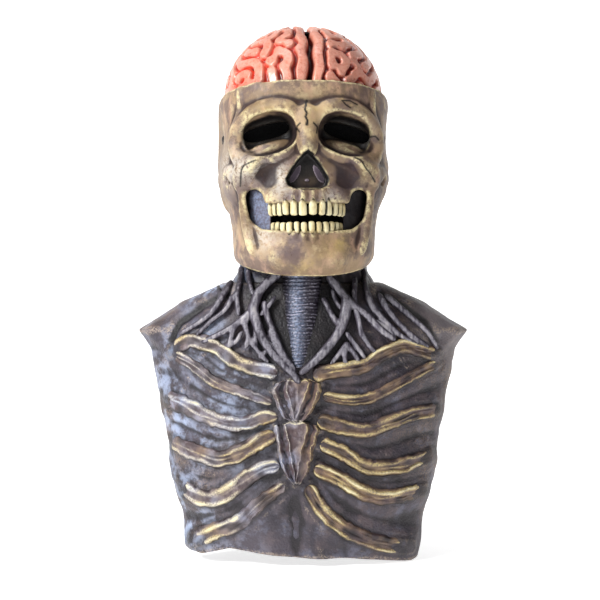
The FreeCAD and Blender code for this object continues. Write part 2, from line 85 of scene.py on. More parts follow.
# ---- noise and small maths --------------------------------------------------------------------------
LATTICE = np.random.default_rng(11).random((32, 32, 32)).astype(np.float32) * 2 - 1


def noise(p, size, seed=0):
    """Smooth noise in -1..1 at points p (..., 3), with features about size apart."""
    q = np.asarray(p, dtype=np.float32) / size + (seed * 7.31 + 100.0)
    cell = np.floor(q).astype(np.int32)
    f = q - cell
    f = f * f * (3 - 2 * f)
    x, y, z = (cell[..., k] & 31 for k in range(3))
    x1, y1, z1 = (x + 1) & 31, (y + 1) & 31, (z + 1) & 31
    fx, fy, fz = f[..., 0], f[..., 1], f[..., 2]
    low = (LATTICE[x, y, z] * (1 - fx) + LATTICE[x1, y, z] * fx) * (1 - fy)
    low = low + (LATTICE[x, y1, z] * (1 - fx) + LATTICE[x1, y1, z] * fx) * fy
    top = (LATTICE[x, y, z1] * (1 - fx) + LATTICE[x1, y, z1] * fx) * (1 - fy)
    top = top + (LATTICE[x, y1, z1] * (1 - fx) + LATTICE[x1, y1, z1] * fx) * fy
    return low * (1 - fz) + top * fz


def fractal(p, size, seed=0, octaves=3, gain=0.5):
    total, height, whole = 0.0, 1.0, 0.0
    for k in range(octaves):
        total = total + noise(p, size / 2 ** k, seed + 5 * k) * height
        whole += height
        height *= gain
    return total / whole


def step(low, high, value):
    t = np.clip((value - low) / (high - low), 0, 1)
    return t * t * (3 - 2 * t)


def join(a, b, soft):
    """Smooth union of two distance fields."""
    h = np.clip(0.5 + 0.5 * (b - a) / soft, 0, 1)
    return b + (a - b) * h - soft * h * (1 - h)


def carve(a, b, soft):
    """Field a with field b cut out of it, the edge rounded by soft."""
    return -join(-a, b, soft)


def smooth_table(rows, reach=6.0):
    """Column values of rows (sorted by falling height) as smooth functions of height."""
    rows = np.array(sorted(rows), dtype=float)
    heights = np.arange(rows[0, 0] - 30, rows[-1, 0] + 30, 1.0)
    kernel = np.hanning(int(reach * 2) + 3)
    kernel /= kernel.sum()
    pad = len(kernel) // 2
    columns = []
    for k in range(1, rows.shape[1]):
        line = np.interp(heights, rows[:, 0], rows[:, k])
        columns.append(np.convolve(np.pad(line, pad, mode="edge"), kernel, "valid"))
    return heights, columns


def curve(points, spacing=2.0):
    """A smooth line through points, resampled at about spacing, as an array."""
    p = np.array(points, dtype=float)
    p = np.vstack([2 * p[0] - p[1], p, 2 * p[-1] - p[-2]])
    line = []
    for k in range(1, len(p) - 2):
        a, b, c, d = p[k - 1], p[k], p[k + 1], p[k + 2]
        count = max(2, int(np.linalg.norm(c - b) / spacing))
        for t in np.arange(count) / count:
            line.append(0.5 * (2 * b + (c - a) * t + (2 * a - 5 * b + 4 * c - d) * t * t
                               + (3 * b - a - 3 * c + d) * t ** 3))
    line.append(p[-2])
    return np.array(line)


def turn(points, angle=HEAD_YAW):
    """Points turned about +Z."""
    out = points.copy()
    out[:, 0] = points[:, 0] * math.cos(angle) - points[:, 1] * math.sin(angle)
    out[:, 1] = points[:, 0] * math.sin(angle) + points[:, 1] * math.cos(angle)
    return out


# ---- clay: a field on a grid that is added to, carved, and turned into a surface --------------------
class Clay:
    def __init__(self, low, high, voxel):
        self.low, self.voxel = np.array(low, dtype=float), voxel
        count = [int(math.ceil((h - l) / voxel)) + 1 for l, h in zip(low, high)]
        axes = [(l + voxel * np.arange(n)).astype(np.float32) for l, n in zip(low, count)]
        self.x, self.y, self.z = axes[0][:, None, None], axes[1][None, :, None], axes[2][None, None, :]
        self.field = np.full(count, 50.0, dtype=np.float32)

    def part(self, low, high):
        spans = []
        for k in range(3):
            a = int(max(0, math.floor((low[k] - self.low[k]) / self.voxel)))
            b = int(min(self.field.shape[k], math.ceil((high[k] - self.low[k]) / self.voxel) + 1))
            spans.append(slice(a, max(a, b)))
        return tuple(spans)

    def work(self, shape, how, soft, low, high):
        """Mixes shape(x, y, z) into the field between two corners, with how = join or carve."""
        span = self.part(low, high)
        if any(s.start >= s.stop for s in span):
            return
        value = shape(self.x[span[0]], self.y[:, span[1]], self.z[:, :, span[2]])
        self.field[span] = how(self.field[span], value, soft)

    def ball(self, centre, radii, how=join, soft=3.0, tilt=0.0):
        """An ellipsoid. tilt turns it about the front-to-back axis, in radians."""
        reach = max(radii) + soft + 4
        cos, sin = math.cos(tilt), math.sin(tilt)

        def shape(x, y, z):
            u, v, w = x - centre[0], y - centre[1], z - centre[2]
            u, w = u * cos + w * sin, w * cos - u * sin
            inner = np.sqrt((u / radii[0]) ** 2 + (v / radii[1]) ** 2 + (w / radii[2]) ** 2) + 1e-6
            slope = (u / radii[0] ** 2) ** 2 + (v / radii[1] ** 2) ** 2 + (w / radii[2] ** 2) ** 2
            slope = np.sqrt(slope) + 1e-6
            return inner * (inner - 1) / slope
        self.work(shape, how, soft, [c - reach for c in centre], [c + reach for c in centre])

    def strand(self, points, radii, how=join, soft=2.0, spacing=3.0):
        """A round cord along a smooth line, its radius running through radii."""
        line = curve(points, spacing)
        radius = np.interp(np.linspace(0, 1, len(line)), np.linspace(0, 1, len(radii)), radii)
        for a, b, ra, rb in zip(line[:-1], line[1:], radius[:-1], radius[1:]):
            reach = max(ra, rb) + soft + 2.5 * self.voxel
            span = b - a
            length2 = float(span @ span) + 1e-9

            def shape(x, y, z):
                u, v, w = x - a[0], y - a[1], z - a[2]
                t = np.clip((u * span[0] + v * span[1] + w * span[2]) / length2, 0, 1)
                near = np.sqrt((u - t * span[0]) ** 2 + (v - t * span[1]) ** 2 + (w - t * span[2]) ** 2)
                return near - (ra + (rb - ra) * t)
            self.work(shape, how, soft, np.minimum(a, b) - reach, np.maximum(a, b) + reach)

    def surface(self):
        """Vertices and quads of the zero surface, one vertex in each cell that it crosses."""
        f, inside = self.field, self.field < 0
        shape = tuple(n - 1 for n in f.shape)
        total = np.zeros(shape, dtype=np.uint8)
        corners = [(i, j, k) for i in (0, 1) for j in (0, 1) for k in (0, 1)]
        for i, j, k in corners:
            total += inside[i:i + shape[0], j:j + shape[1], k:k + shape[2]]
        cells = np.argwhere((total > 0) & (total < 8))
        number = np.full(shape, -1, dtype=np.int32)
        number[tuple(cells.T)] = np.arange(len(cells))
        sums, hits = np.zeros((len(cells), 3)), np.zeros(len(cells))
        value = {c: f[cells[:, 0] + c[0], cells[:, 1] + c[1], cells[:, 2] + c[2]] for c in corners}
        for axis in range(3):
            for start in corners:
                if start[axis]:
                    continue
                end = tuple(1 if k == axis else start[k] for k in range(3))
                a, b = value[start], value[end]
                cross = (a < 0) != (b < 0)
                t = np.where(cross, a / np.where(a == b, 1, a - b), 0)
                point = np.tile(np.array(start, dtype=float), (len(cells), 1))
                point[:, axis] = t
                sums += point * cross[:, None]
                hits += cross
        points = self.low + (cells + sums / hits[:, None]) * self.voxel
        quads = []
        for axis in range(3):
            u, v = (axis + 1) % 3, (axis + 2) % 3
            near = [slice(1, -1)] * 3
            near[axis] = slice(0, -1)
            far = [slice(1, -1)] * 3
            far[axis] = slice(1, None)
            a, b = inside[tuple(near)], inside[tuple(far)]
            edges = np.argwhere(a != b)
            start = edges.copy()
            start[:, u] += 1
            start[:, v] += 1
            flip = b[tuple(edges.T)]
            ring = []
            for du, dv in ((-1, -1), (0, -1), (0, 0), (-1, 0)):
                c = start.copy()
                c[:, u] += du
                c[:, v] += dv
                ring.append(number[tuple(c.T)])
            ring = np.stack(ring, axis=1)
            ring[flip] = ring[flip][:, ::-1]
            quads.append(ring)
        quads = np.vstack(quads)
        return points, quads[(quads >= 0).all(axis=1)]

# ---- meshes -------------------------------------------------------------------------------------------
def edges_of(faces):
    pairs = np.vstack([faces[:, [k, (k + 1) % faces.shape[1]]] for k in range(faces.shape[1])])
    return np.unique(np.sort(pairs, axis=1), axis=0)


def spread(values, edges, rounds):
    """Values at vertices, averaged with their neighbours rounds times."""
    values = np.array(values, dtype=float)
    flat = values.reshape(len(values), -1)
    a, b, n = edges[:, 0], edges[:, 1], len(values)
    degree = np.bincount(a, minlength=n) + np.bincount(b, minlength=n)
    degree = np.maximum(degree, 1)
    for _ in range(rounds):
        for k in range(flat.shape[1]):
            near = np.bincount(a, flat[b, k], minlength=n) + np.bincount(b, flat[a, k], minlength=n)
            flat[:, k] = 0.5 * flat[:, k] + 0.5 * near / degree
    return flat.reshape(values.shape)


def normals_of(points, faces):
    corner = [points[faces[:, k]] for k in range(faces.shape[1])]
    if len(corner) == 4:
        face = np.cross(corner[2] - corner[0], corner[3] - corner[1])
    else:
        face = np.cross(corner[1] - corner[0], corner[2] - corner[0])
    total = np.zeros_like(points)
    for k in range(faces.shape[1]):
        for axis in range(3):
            total[:, axis] += np.bincount(faces[:, k], face[:, axis], minlength=len(points))
    length = np.linalg.norm(total, axis=1)
    return total / np.maximum(length, 1e-9)[:, None]


def relief(points, faces, rounds):
    """How far each vertex stands proud of its smoothed surroundings, in mm; hollows are negative."""
    smooth = spread(points, edges_of(faces), rounds)
    return np.einsum("ij,ij->i", normals_of(points, faces), points - smooth)


def make(name, points, faces, paint=None, normals=None, material=None, body="mask", nodes=()):
    """A Blender object from points in mm, with paint layers as float attributes, riding on a body."""
    mesh = bpy.data.meshes.new(name)
    mesh.vertices.add(len(points))
    mesh.vertices.foreach_set("co", (points * MM).astype(np.float32).ravel())
    sides = faces.shape[1]
    mesh.loops.add(faces.size)
    mesh.loops.foreach_set("vertex_index", faces.astype(np.int32).ravel())
    mesh.polygons.add(len(faces))
    mesh.polygons.foreach_set("loop_start", np.arange(0, faces.size, sides, dtype=np.int32))
    mesh.polygons.foreach_set("use_smooth", np.ones(len(faces), dtype=bool))
    mesh.update(calc_edges=True)
    for layer, values in (paint or {}).items():
        attribute = mesh.attributes.new(layer, "FLOAT", "POINT")
        attribute.data.foreach_set("value", np.asarray(values, dtype=np.float32))
    if normals is not None:
        mesh.normals_split_custom_set_from_vertices(normals.astype(np.float32))
    piece = bpy.data.objects.new(name, mesh)
    bpy.context.scene.collection.objects.link(piece)
    if material:
        mesh.materials.append(material)
    if isinstance(body, str):
        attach(piece, body)
    else:
        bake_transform(piece)
    if nodes:
        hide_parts(*nodes)
    return piece


def submesh(points, faces, keep, layers):
    """The kept faces with only the points they use, and the same rows of each layer."""
    faces = faces[keep]
    used = np.unique(faces)
    number = np.full(len(points), -1, dtype=np.int64)
    number[used] = np.arange(len(used))
    return points[used], number[faces], [None if v is None else v[used] for v in layers]


def line_distance(points, line):
    """Distance from each point to a polyline."""
    best = np.full(len(points), 1e3)
    for a, b in zip(line[:-1], line[1:]):
        span = b - a
        t = np.clip((points - a) @ span / (span @ span + 1e-9), 0, 1)
        best = np.minimum(best, np.linalg.norm(points - a - t[:, None] * span, axis=1))
    return best


# ---- materials ----------------------------------------------------------------------------------------
class Shader:
    """A small helper that wires up a material's nodes."""

    def __init__(self, name, roughness=0.5, **sockets):
        self.material = bpy.data.materials.new(name)
        self.material.use_nodes = True
        self.nodes, self.links = self.material.node_tree.nodes, self.material.node_tree.links
        self.base = self.nodes["Principled BSDF"]
        self.base.inputs["Roughness"].default_value = roughness
        for key, value in sockets.items():
            self.base.inputs[key.replace("_", " ")].default_value = value
        self.place = self.nodes.new("ShaderNodeTexCoord").outputs["Object"]

    def put(self, socket, value):
        if isinstance(value, bpy.types.NodeSocket):
            self.links.new(value, socket)
        elif isinstance(value, tuple) and len(value) == 3 and socket.type == "RGBA":
            socket.default_value = (*value, 1)
        else:
            socket.default_value = value

    def noise(self, scale, detail=4.0, roughness=0.55, stretch=None):
        node = self.nodes.new("ShaderNodeTexNoise")
        node.inputs["Scale"].default_value = scale
        node.inputs["Detail"].default_value = detail
        node.inputs["Roughness"].default_value = roughness
        place = self.place
        if stretch:
            mapping = self.nodes.new("ShaderNodeMapping")
            mapping.inputs["Scale"].default_value = stretch
            self.links.new(self.place, mapping.inputs["Vector"])
            place = mapping.outputs["Vector"]
        self.links.new(place, node.inputs["Vector"])
        return node.outputs["Fac"]

    def cells(self, scale, feature="F1"):
        node = self.nodes.new("ShaderNodeTexVoronoi")
        node.feature = feature
        node.inputs["Scale"].default_value = scale
        self.links.new(self.place, node.inputs["Vector"])
        return node.outputs["Distance"]

    def layer(self, name):
        node = self.nodes.new("ShaderNodeAttribute")
        node.attribute_name = name
        return node.outputs["Fac"]

    def times(self, a, b):
        node = self.nodes.new("ShaderNodeMath")
        node.operation = "MULTIPLY"
        self.put(node.inputs[0], a)
        self.put(node.inputs[1], b)
        return node.outputs[0]

    def ramp(self, value, low, high, start=0.0, end=1.0):
        node = self.nodes.new("ShaderNodeMapRange")
        node.interpolation_type = "SMOOTHSTEP"
        self.put(node.inputs["Value"], value)
        for key, number in (("From Min", low), ("From Max", high), ("To Min", start), ("To Max", end)):
            node.inputs[key].default_value = number
        return node.outputs["Result"]

    def mix(self, share, a, b):
        node = self.nodes.new("ShaderNodeMix")
        node.data_type = "RGBA"
        self.put(node.inputs["Factor"], share)
        self.put(node.inputs["A"], a)
        self.put(node.inputs["B"], b)
        return node.outputs["Result"]

    def over(self, under, colour, share, also):
        """Colour laid over under, as strongly as share times also."""
        return self.mix(self.times(share, also), under, colour)

    def bump(self, height, distance, strength=1.0, under=None):
        node = self.nodes.new("ShaderNodeBump")
        node.inputs["Distance"].default_value = distance
        node.inputs["Strength"].default_value = strength
        self.links.new(height, node.inputs["Height"])
        if under is not None:
            self.links.new(under, node.inputs["Normal"])
        return node.outputs["Normal"]

    def finish(self, colour, roughness=None, normal=None):
        self.put(self.base.inputs["Base Color"], colour)
        if roughness is not None:
            self.put(self.base.inputs["Roughness"], roughness)
        if normal is not None:
            self.links.new(normal, self.base.inputs["Normal"])
        return self.material


def linear(*srgb):
    """An sRGB colour in 0..255 as linear light."""
    return tuple(c / 255 / 12.92 if c <= 10 else ((c / 255 + 0.055) / 1.055) ** 2.4 for c in srgb)


def bone_paint(name="aged bone latex"):
    """Tan latex, mottled yellow, pink and grey, a dark wash and painted shade in its hollows, pale painted
    light on the left, cream dry-brushed ridges.
    """
    s = Shader(name, roughness=0.5, Specular_IOR_Level=0.35)
    broad, patch, grain = s.noise(14, 3), s.noise(45, 5, 0.65), s.noise(260, 6, 0.7)
    cloud, streak = s.noise(26, 6, 0.7), s.noise(70, 4, 0.6, (1, 1, 0.5))
    tan = s.mix(s.ramp(broad, 0.4, 0.62), linear(128, 106, 82), linear(172, 147, 116))
    tan = s.over(tan, linear(98, 80, 76), s.ramp(cloud, 0.44, 0.58), 0.85)
    tan = s.over(tan, linear(186, 150, 124), s.ramp(streak, 0.52, 0.72), 0.6)
    tan = s.over(tan, linear(198, 178, 142), s.ramp(patch, 0.56, 0.70), 0.55)
    tan = s.over(tan, linear(198, 172, 96), s.layer("warm"), s.ramp(patch, 0.40, 0.66, 0.0, 0.7))
    tan = s.over(tan, linear(96, 84, 92), s.layer("cool"), s.ramp(patch, 0.64, 0.36))
    # pale: painted light, mostly on the skull's left side
    tan = s.over(tan, linear(206, 200, 190), s.layer("pale"), s.ramp(grain, 0.36, 0.56))
    # the hollows darkened by a dark wash and by painted shade
    wash_and_shade = s.times(s.ramp(s.layer("hollow"), 0.03, 0.8), s.ramp(patch, 0.25, 0.5, 0.65, 1.0))
    tan = s.over(tan, linear(44, 33, 36), wash_and_shade, 0.95)
    fine = s.ramp(s.layer("groove"), 0.06, 0.36)
    tan = s.over(tan, linear(60, 42, 36), fine, 0.8)
    dry = s.times(s.ramp(s.layer("ridge"), 0.10, 0.42), s.ramp(grain, 0.36, 0.58))
    tan = s.over(tan, linear(222, 208, 160), dry, 0.72)
    pits = s.times(s.ramp(grain, 0.42, 0.32), s.ramp(cloud, 0.4, 0.6, 0.3, 0.8))
    tan = s.mix(pits, tan, linear(82, 62, 52))
    speck = s.ramp(s.cells(900), 0.16, 0.08)
    tan = s.over(tan, linear(60, 46, 40), speck, s.ramp(patch, 0.5, 0.62, 0.0, 0.55))
    colour = s.mix(s.layer("ink_and_shade"), tan, linear(9, 7, 8))
    rough = s.ramp(grain, 0.3, 0.7, 0.40, 0.62)
    normal = s.bump(s.noise(520, 5, 0.65), 0.0004, 0.55, s.bump(patch, 0.0012, 0.5))
    return s.finish(colour, rough, normal)


def brain_paint():
    """Wet pink folds over dark red furrows."""
    s = Shader("wet brain latex", roughness=0.3, Specular_IOR_Level=0.45, Coat_Weight=0.2, Coat_Roughness=0.2)
    s.base.inputs["Subsurface Weight"].default_value = 0.12
    s.base.inputs["Subsurface Radius"].default_value = (0.012, 0.004, 0.003)
    patch, grain = s.noise(50, 4), s.noise(300, 4, 0.65)
    pink = s.mix(s.ramp(patch, 0.36, 0.62), linear(182, 96, 76), linear(202, 124, 100))
    pink = s.over(pink, linear(214, 158, 140), s.layer("ridge"), s.ramp(grain, 0.3, 0.6, 0.2, 0.75))
    red = s.mix(s.layer("warm"), linear(128, 38, 30), linear(206, 52, 30))
    pink = s.mix(s.ramp(s.layer("hollow"), 0.02, 0.6), pink, red)
    pink = s.mix(s.ramp(s.layer("hollow"), 0.74, 1.0), pink, linear(92, 26, 22))
    pink = s.over(pink, linear(232, 96, 70), s.layer("warm"), s.ramp(patch, 0.42, 0.6, 0.0, 0.55))
    colour = s.mix(s.layer("ink_and_shade"), pink, linear(64, 22, 22))
    return s.finish(colour, s.ramp(grain, 0.3, 0.7, 0.26, 0.44), s.bump(grain, 0.0004, 0.35))


def tooth_paint():
    s = Shader("ivory tooth latex", roughness=0.34, Specular_IOR_Level=0.45)
    patch = s.noise(160, 4, 0.6, (1, 1, 0.35))
    ivory = s.mix(s.ramp(patch, 0.38, 0.66), linear(226, 216, 176), linear(188, 168, 118))
    ivory = s.mix(s.ramp(s.layer("hollow"), 0.1, 0.8), ivory, linear(96, 74, 44))
    colour = s.mix(s.layer("ink_and_shade"), ivory, linear(10, 8, 7))
    return s.finish(colour, None, s.bump(s.noise(500, 3), 0.0003, 0.4))


def flesh_paint(name, dark, light, streak, gloss=0.42):
    """Dark sinew or gristle with a light dry-brushed grain along its ridges."""
    s = Shader(name, roughness=gloss, Specular_IOR_Level=0.4)
    broad, grain = s.noise(22, 3), s.noise(420, 5, 0.7)
    base = s.mix(s.ramp(broad, 0.38, 0.62), dark, tuple(c * 1.7 + 0.004 for c in dark))
    # blue-grey where the cool layer is set: painted light on the sinews, windpipe, neck and nose tip; on the
    # cheek webs, their own tone where they are not shaded
    base = s.over(base, linear(126, 140, 168), s.layer("cool"), s.ramp(grain, 0.4, 0.6, 0.2, 0.75))
    base = s.mix(s.ramp(s.layer("hollow"), 0.05, 0.8), base, linear(14, 11, 14))
    dry = s.times(s.ramp(s.layer("ridge"), 0.04, 0.30), s.ramp(grain, 0.32, 0.58, 0.25, 1.0))
    base = s.over(base, light, dry, 0.85)
    base = s.over(base, streak, s.ramp(s.layer("ridge"), 0.22, 0.6), s.ramp(broad, 0.4, 0.6))
    colour = s.mix(s.layer("ink_and_shade"), base, linear(6, 5, 6))
    normal = s.bump(s.noise(700, 4, 0.6), 0.0003, 0.5, s.bump(s.noise(120, 4), 0.0008, 0.5))
    return s.finish(colour, s.ramp(grain, 0.3, 0.7, gloss - 0.08, gloss + 0.14), normal)


def leather_paint():
    """The bib's dark slate-purple skin: a fine pebbled grain, blue-white painted light on the left and ochre
    painted light on the flanks.
    """
    s = Shader("slate bib latex", roughness=0.5, Specular_IOR_Level=0.45)
    broad, patch, grain = s.noise(12, 3), s.noise(60, 5, 0.65), s.noise(480, 6, 0.72)
    base = s.mix(s.ramp(broad, 0.36, 0.64), linear(44, 39, 48), linear(70, 63, 72))
    base = s.over(base, linear(90, 77, 80), s.ramp(patch, 0.44, 0.66), 0.7)
    base = s.over(base, linear(104, 106, 124), s.ramp(s.noise(34, 5, 0.7), 0.52, 0.70), 0.6)
    # painted light: blue-white on the left side
    base = s.over(base, linear(150, 162, 188), s.layer("cool"), s.ramp(patch, 0.42, 0.62))
    # painted light: ochre flecks on both flanks
    base = s.over(base, linear(150, 124, 96), s.layer("warm"), s.ramp(grain, 0.4, 0.6))
    # the hollows darkened by a dark wash and by painted shade
    base = s.over(base, linear(24, 18, 24), s.ramp(s.layer("hollow"), 0.04, 0.7), 0.92)
    base = s.over(base, linear(138, 130, 132), s.layer("pale"), 0.7)
    dry = s.times(s.ramp(s.layer("ridge"), 0.10, 0.5), s.ramp(grain, 0.42, 0.6))
    base = s.over(base, linear(176, 158, 140), dry, 0.6)
    fleck = s.ramp(grain, 0.60, 0.72)
    base = s.over(base, linear(160, 152, 160), fleck, 0.32)
    base = s.over(base, linear(34, 27, 34), s.ramp(grain, 0.40, 0.30), 0.55)
    colour = s.mix(s.layer("ink_and_shade"), base, linear(8, 6, 8))
    pebble = s.cells(420, "SMOOTH_F1")
    normal = s.bump(grain, 0.0006, 0.7, s.bump(pebble, 0.0012, 0.45, s.bump(patch, 0.002, 0.5)))
    return s.finish(colour, s.ramp(grain, 0.3, 0.7, 0.38, 0.62), normal)


def rib_paint():
    """Bone over the bib: fluted middles darkened as painted shade, cream dry-brushed edges turned blue-white
    on the left as painted light.
    """
    s = Shader("dry-brushed rib latex", roughness=0.46, Specular_IOR_Level=0.4)
    patch, grain = s.noise(60, 5, 0.65), s.noise(520, 6, 0.7)
    base = s.mix(s.ramp(patch, 0.38, 0.64), linear(84, 68, 70), linear(134, 110, 88))
    # painted light: the left bones lighter and bluer
    base = s.over(base, linear(134, 142, 168), s.layer("cool"), s.ramp(patch, 0.36, 0.6))
    base = s.mix(s.ramp(s.layer("hollow"), 0.03, 0.6), base, linear(30, 23, 27))
    # the dry brushing's colour: blue-white painted light on the left, cream-yellow on the right
    edge = s.mix(s.layer("cool"), linear(198, 178, 124), linear(200, 206, 218))
    dry = s.times(s.ramp(s.layer("ridge"), 0.05, 0.5), s.ramp(grain, 0.40, 0.58, 0.1, 1.0))
    base = s.over(base, edge, dry, 0.9)
    bright = s.times(s.ramp(s.layer("ridge"), 0.5, 1.05), s.ramp(patch, 0.40, 0.60, 0.25, 0.8))
    base = s.mix(bright, base, linear(236, 226, 184))
    colour = s.mix(s.layer("ink_and_shade"), base, linear(10, 8, 10))
    normal = s.bump(grain, 0.0005, 0.7, s.bump(patch, 0.0015, 0.5))
    return s.finish(colour, s.ramp(grain, 0.3, 0.7, 0.36, 0.58), normal)


def mesh_paint():
    """Fine black eye mesh: round holes read as darker dots."""
    s = Shader("black mesh cloth", roughness=0.95, Specular_IOR_Level=0.1)
    weave = s.cells(1100)
    colour = s.mix(s.ramp(weave, 0.2, 0.5), linear(2, 2, 2), linear(12, 12, 13))
    return s.finish(colour, None, s.bump(weave, 0.0004, 0.6))


def foam_paint():
    s = Shader("open-cell foam", roughness=0.95, Specular_IOR_Level=0.15)
    pores = s.cells(900)
    colour = s.mix(s.ramp(pores, 0.15, 0.5), linear(14, 14, 15), linear(52, 52, 55))
    return s.finish(colour, None, s.bump(pores, 0.0008, 0.9))


def webbing_paint(name, shade, scale):
    s = Shader(name, roughness=0.85, Sheen_Weight=0.2)
    weave = s.noise(scale, 2, 0.4, (1, 1, 4))
    cross = s.noise(scale, 2, 0.4, (4, 1, 1))
    both = s.times(weave, cross)
    colour = s.mix(s.ramp(both, 0.15, 0.4), linear(*[c // 2 for c in shade]), linear(*shade))
    return s.finish(colour, None, s.bump(both, 0.0006, 0.8))


def plastic_paint():
    s = Shader("ochre hard plastic", roughness=0.45)
    patch = s.noise(200, 4)
    colour = s.mix(s.ramp(patch, 0.4, 0.6), linear(120, 88, 44), linear(158, 124, 66))
    return s.finish(colour, None, s.bump(s.noise(900, 3), 0.0002, 0.4))


# ---- the head: skull and jaw as one sculpt ------------------------------------------------------------
SECTION_Z, SECTION_LINES = smooth_table(HEAD_SECTIONS)


def section_at(z):
    return [np.interp(z, SECTION_Z, line) for line in SECTION_LINES]


def head_form(x, y, z):
    """Distance to the head's plain outer form."""
    half, front, back = section_at(z)
    u = np.abs(x) / half
    v = np.abs(y - (front + back) / 2) / ((back - front) / 2)
    ring = (u ** HEAD_POWER + v ** HEAD_POWER) ** (1 / HEAD_POWER)
    reach = np.sqrt((x ** 2 + (y - (front + back) / 2) ** 2)) + 1e-3
    return ((ring - 1) * reach / np.maximum(ring, 0.2)).astype(np.float32)


def head_front(x, z):
    """The y of the head's plain front at (x, z)."""
    half, front, back = section_at(np.asarray(z, dtype=float))
    u = np.minimum(np.abs(x) / half, 0.999)
    return (front + back) / 2 - (back - front) / 2 * (1 - u ** HEAD_POWER) ** (1 / HEAD_POWER)


def on_face(points, lift=0.0):
    """Points (x, z) of the face as (x, y, z) on its plain front, raised by lift."""
    return [(x, float(head_front(x, z)) - lift, z) for x, z in points]


def oval(x, z, side):
    """Distance to an eye socket's outline in the face plane; inside is negative."""
    u, w = (x - side * SOCKET_X), z - SOCKET_Z
    a = side * SOCKET_TILT
    u, w = u * math.cos(a) - w * math.sin(a), w * math.cos(a) + u * math.sin(a)
    # a boxier oval, fuller at its upper inner corner
    ring = (np.abs(u / 30.5) ** 2.4 + np.abs(w / 22.0) ** 2.4) ** (1 / 2.4)
    return (ring - 1) * 21.0, u, w


def nose_outline(x, z):
    """Distance to the nasal opening's outline, an upside-down heart."""
    half = np.interp(z, [-177, -175, -171, -164, -153, -144, -138, -136], [0, 12, 19.5, 21.5, 15.5, 9, 3, 0])
    return (np.abs(x) - half) * 0.85 + np.maximum(z + 136, 0) + np.maximum(-177 - z, 0)


SOCKET_RIM = [(9, -108), (14, -96), (28, -90), (46, -91), (62, -99), (72, -111), (75, -126), (70, -141),
              (55, -146), (36, -139), (20, -130)]
TEMPORAL_LINE = [(71, -66), (70, -80), (70, -92), (74, -104), (78, -112), (75, -122)]


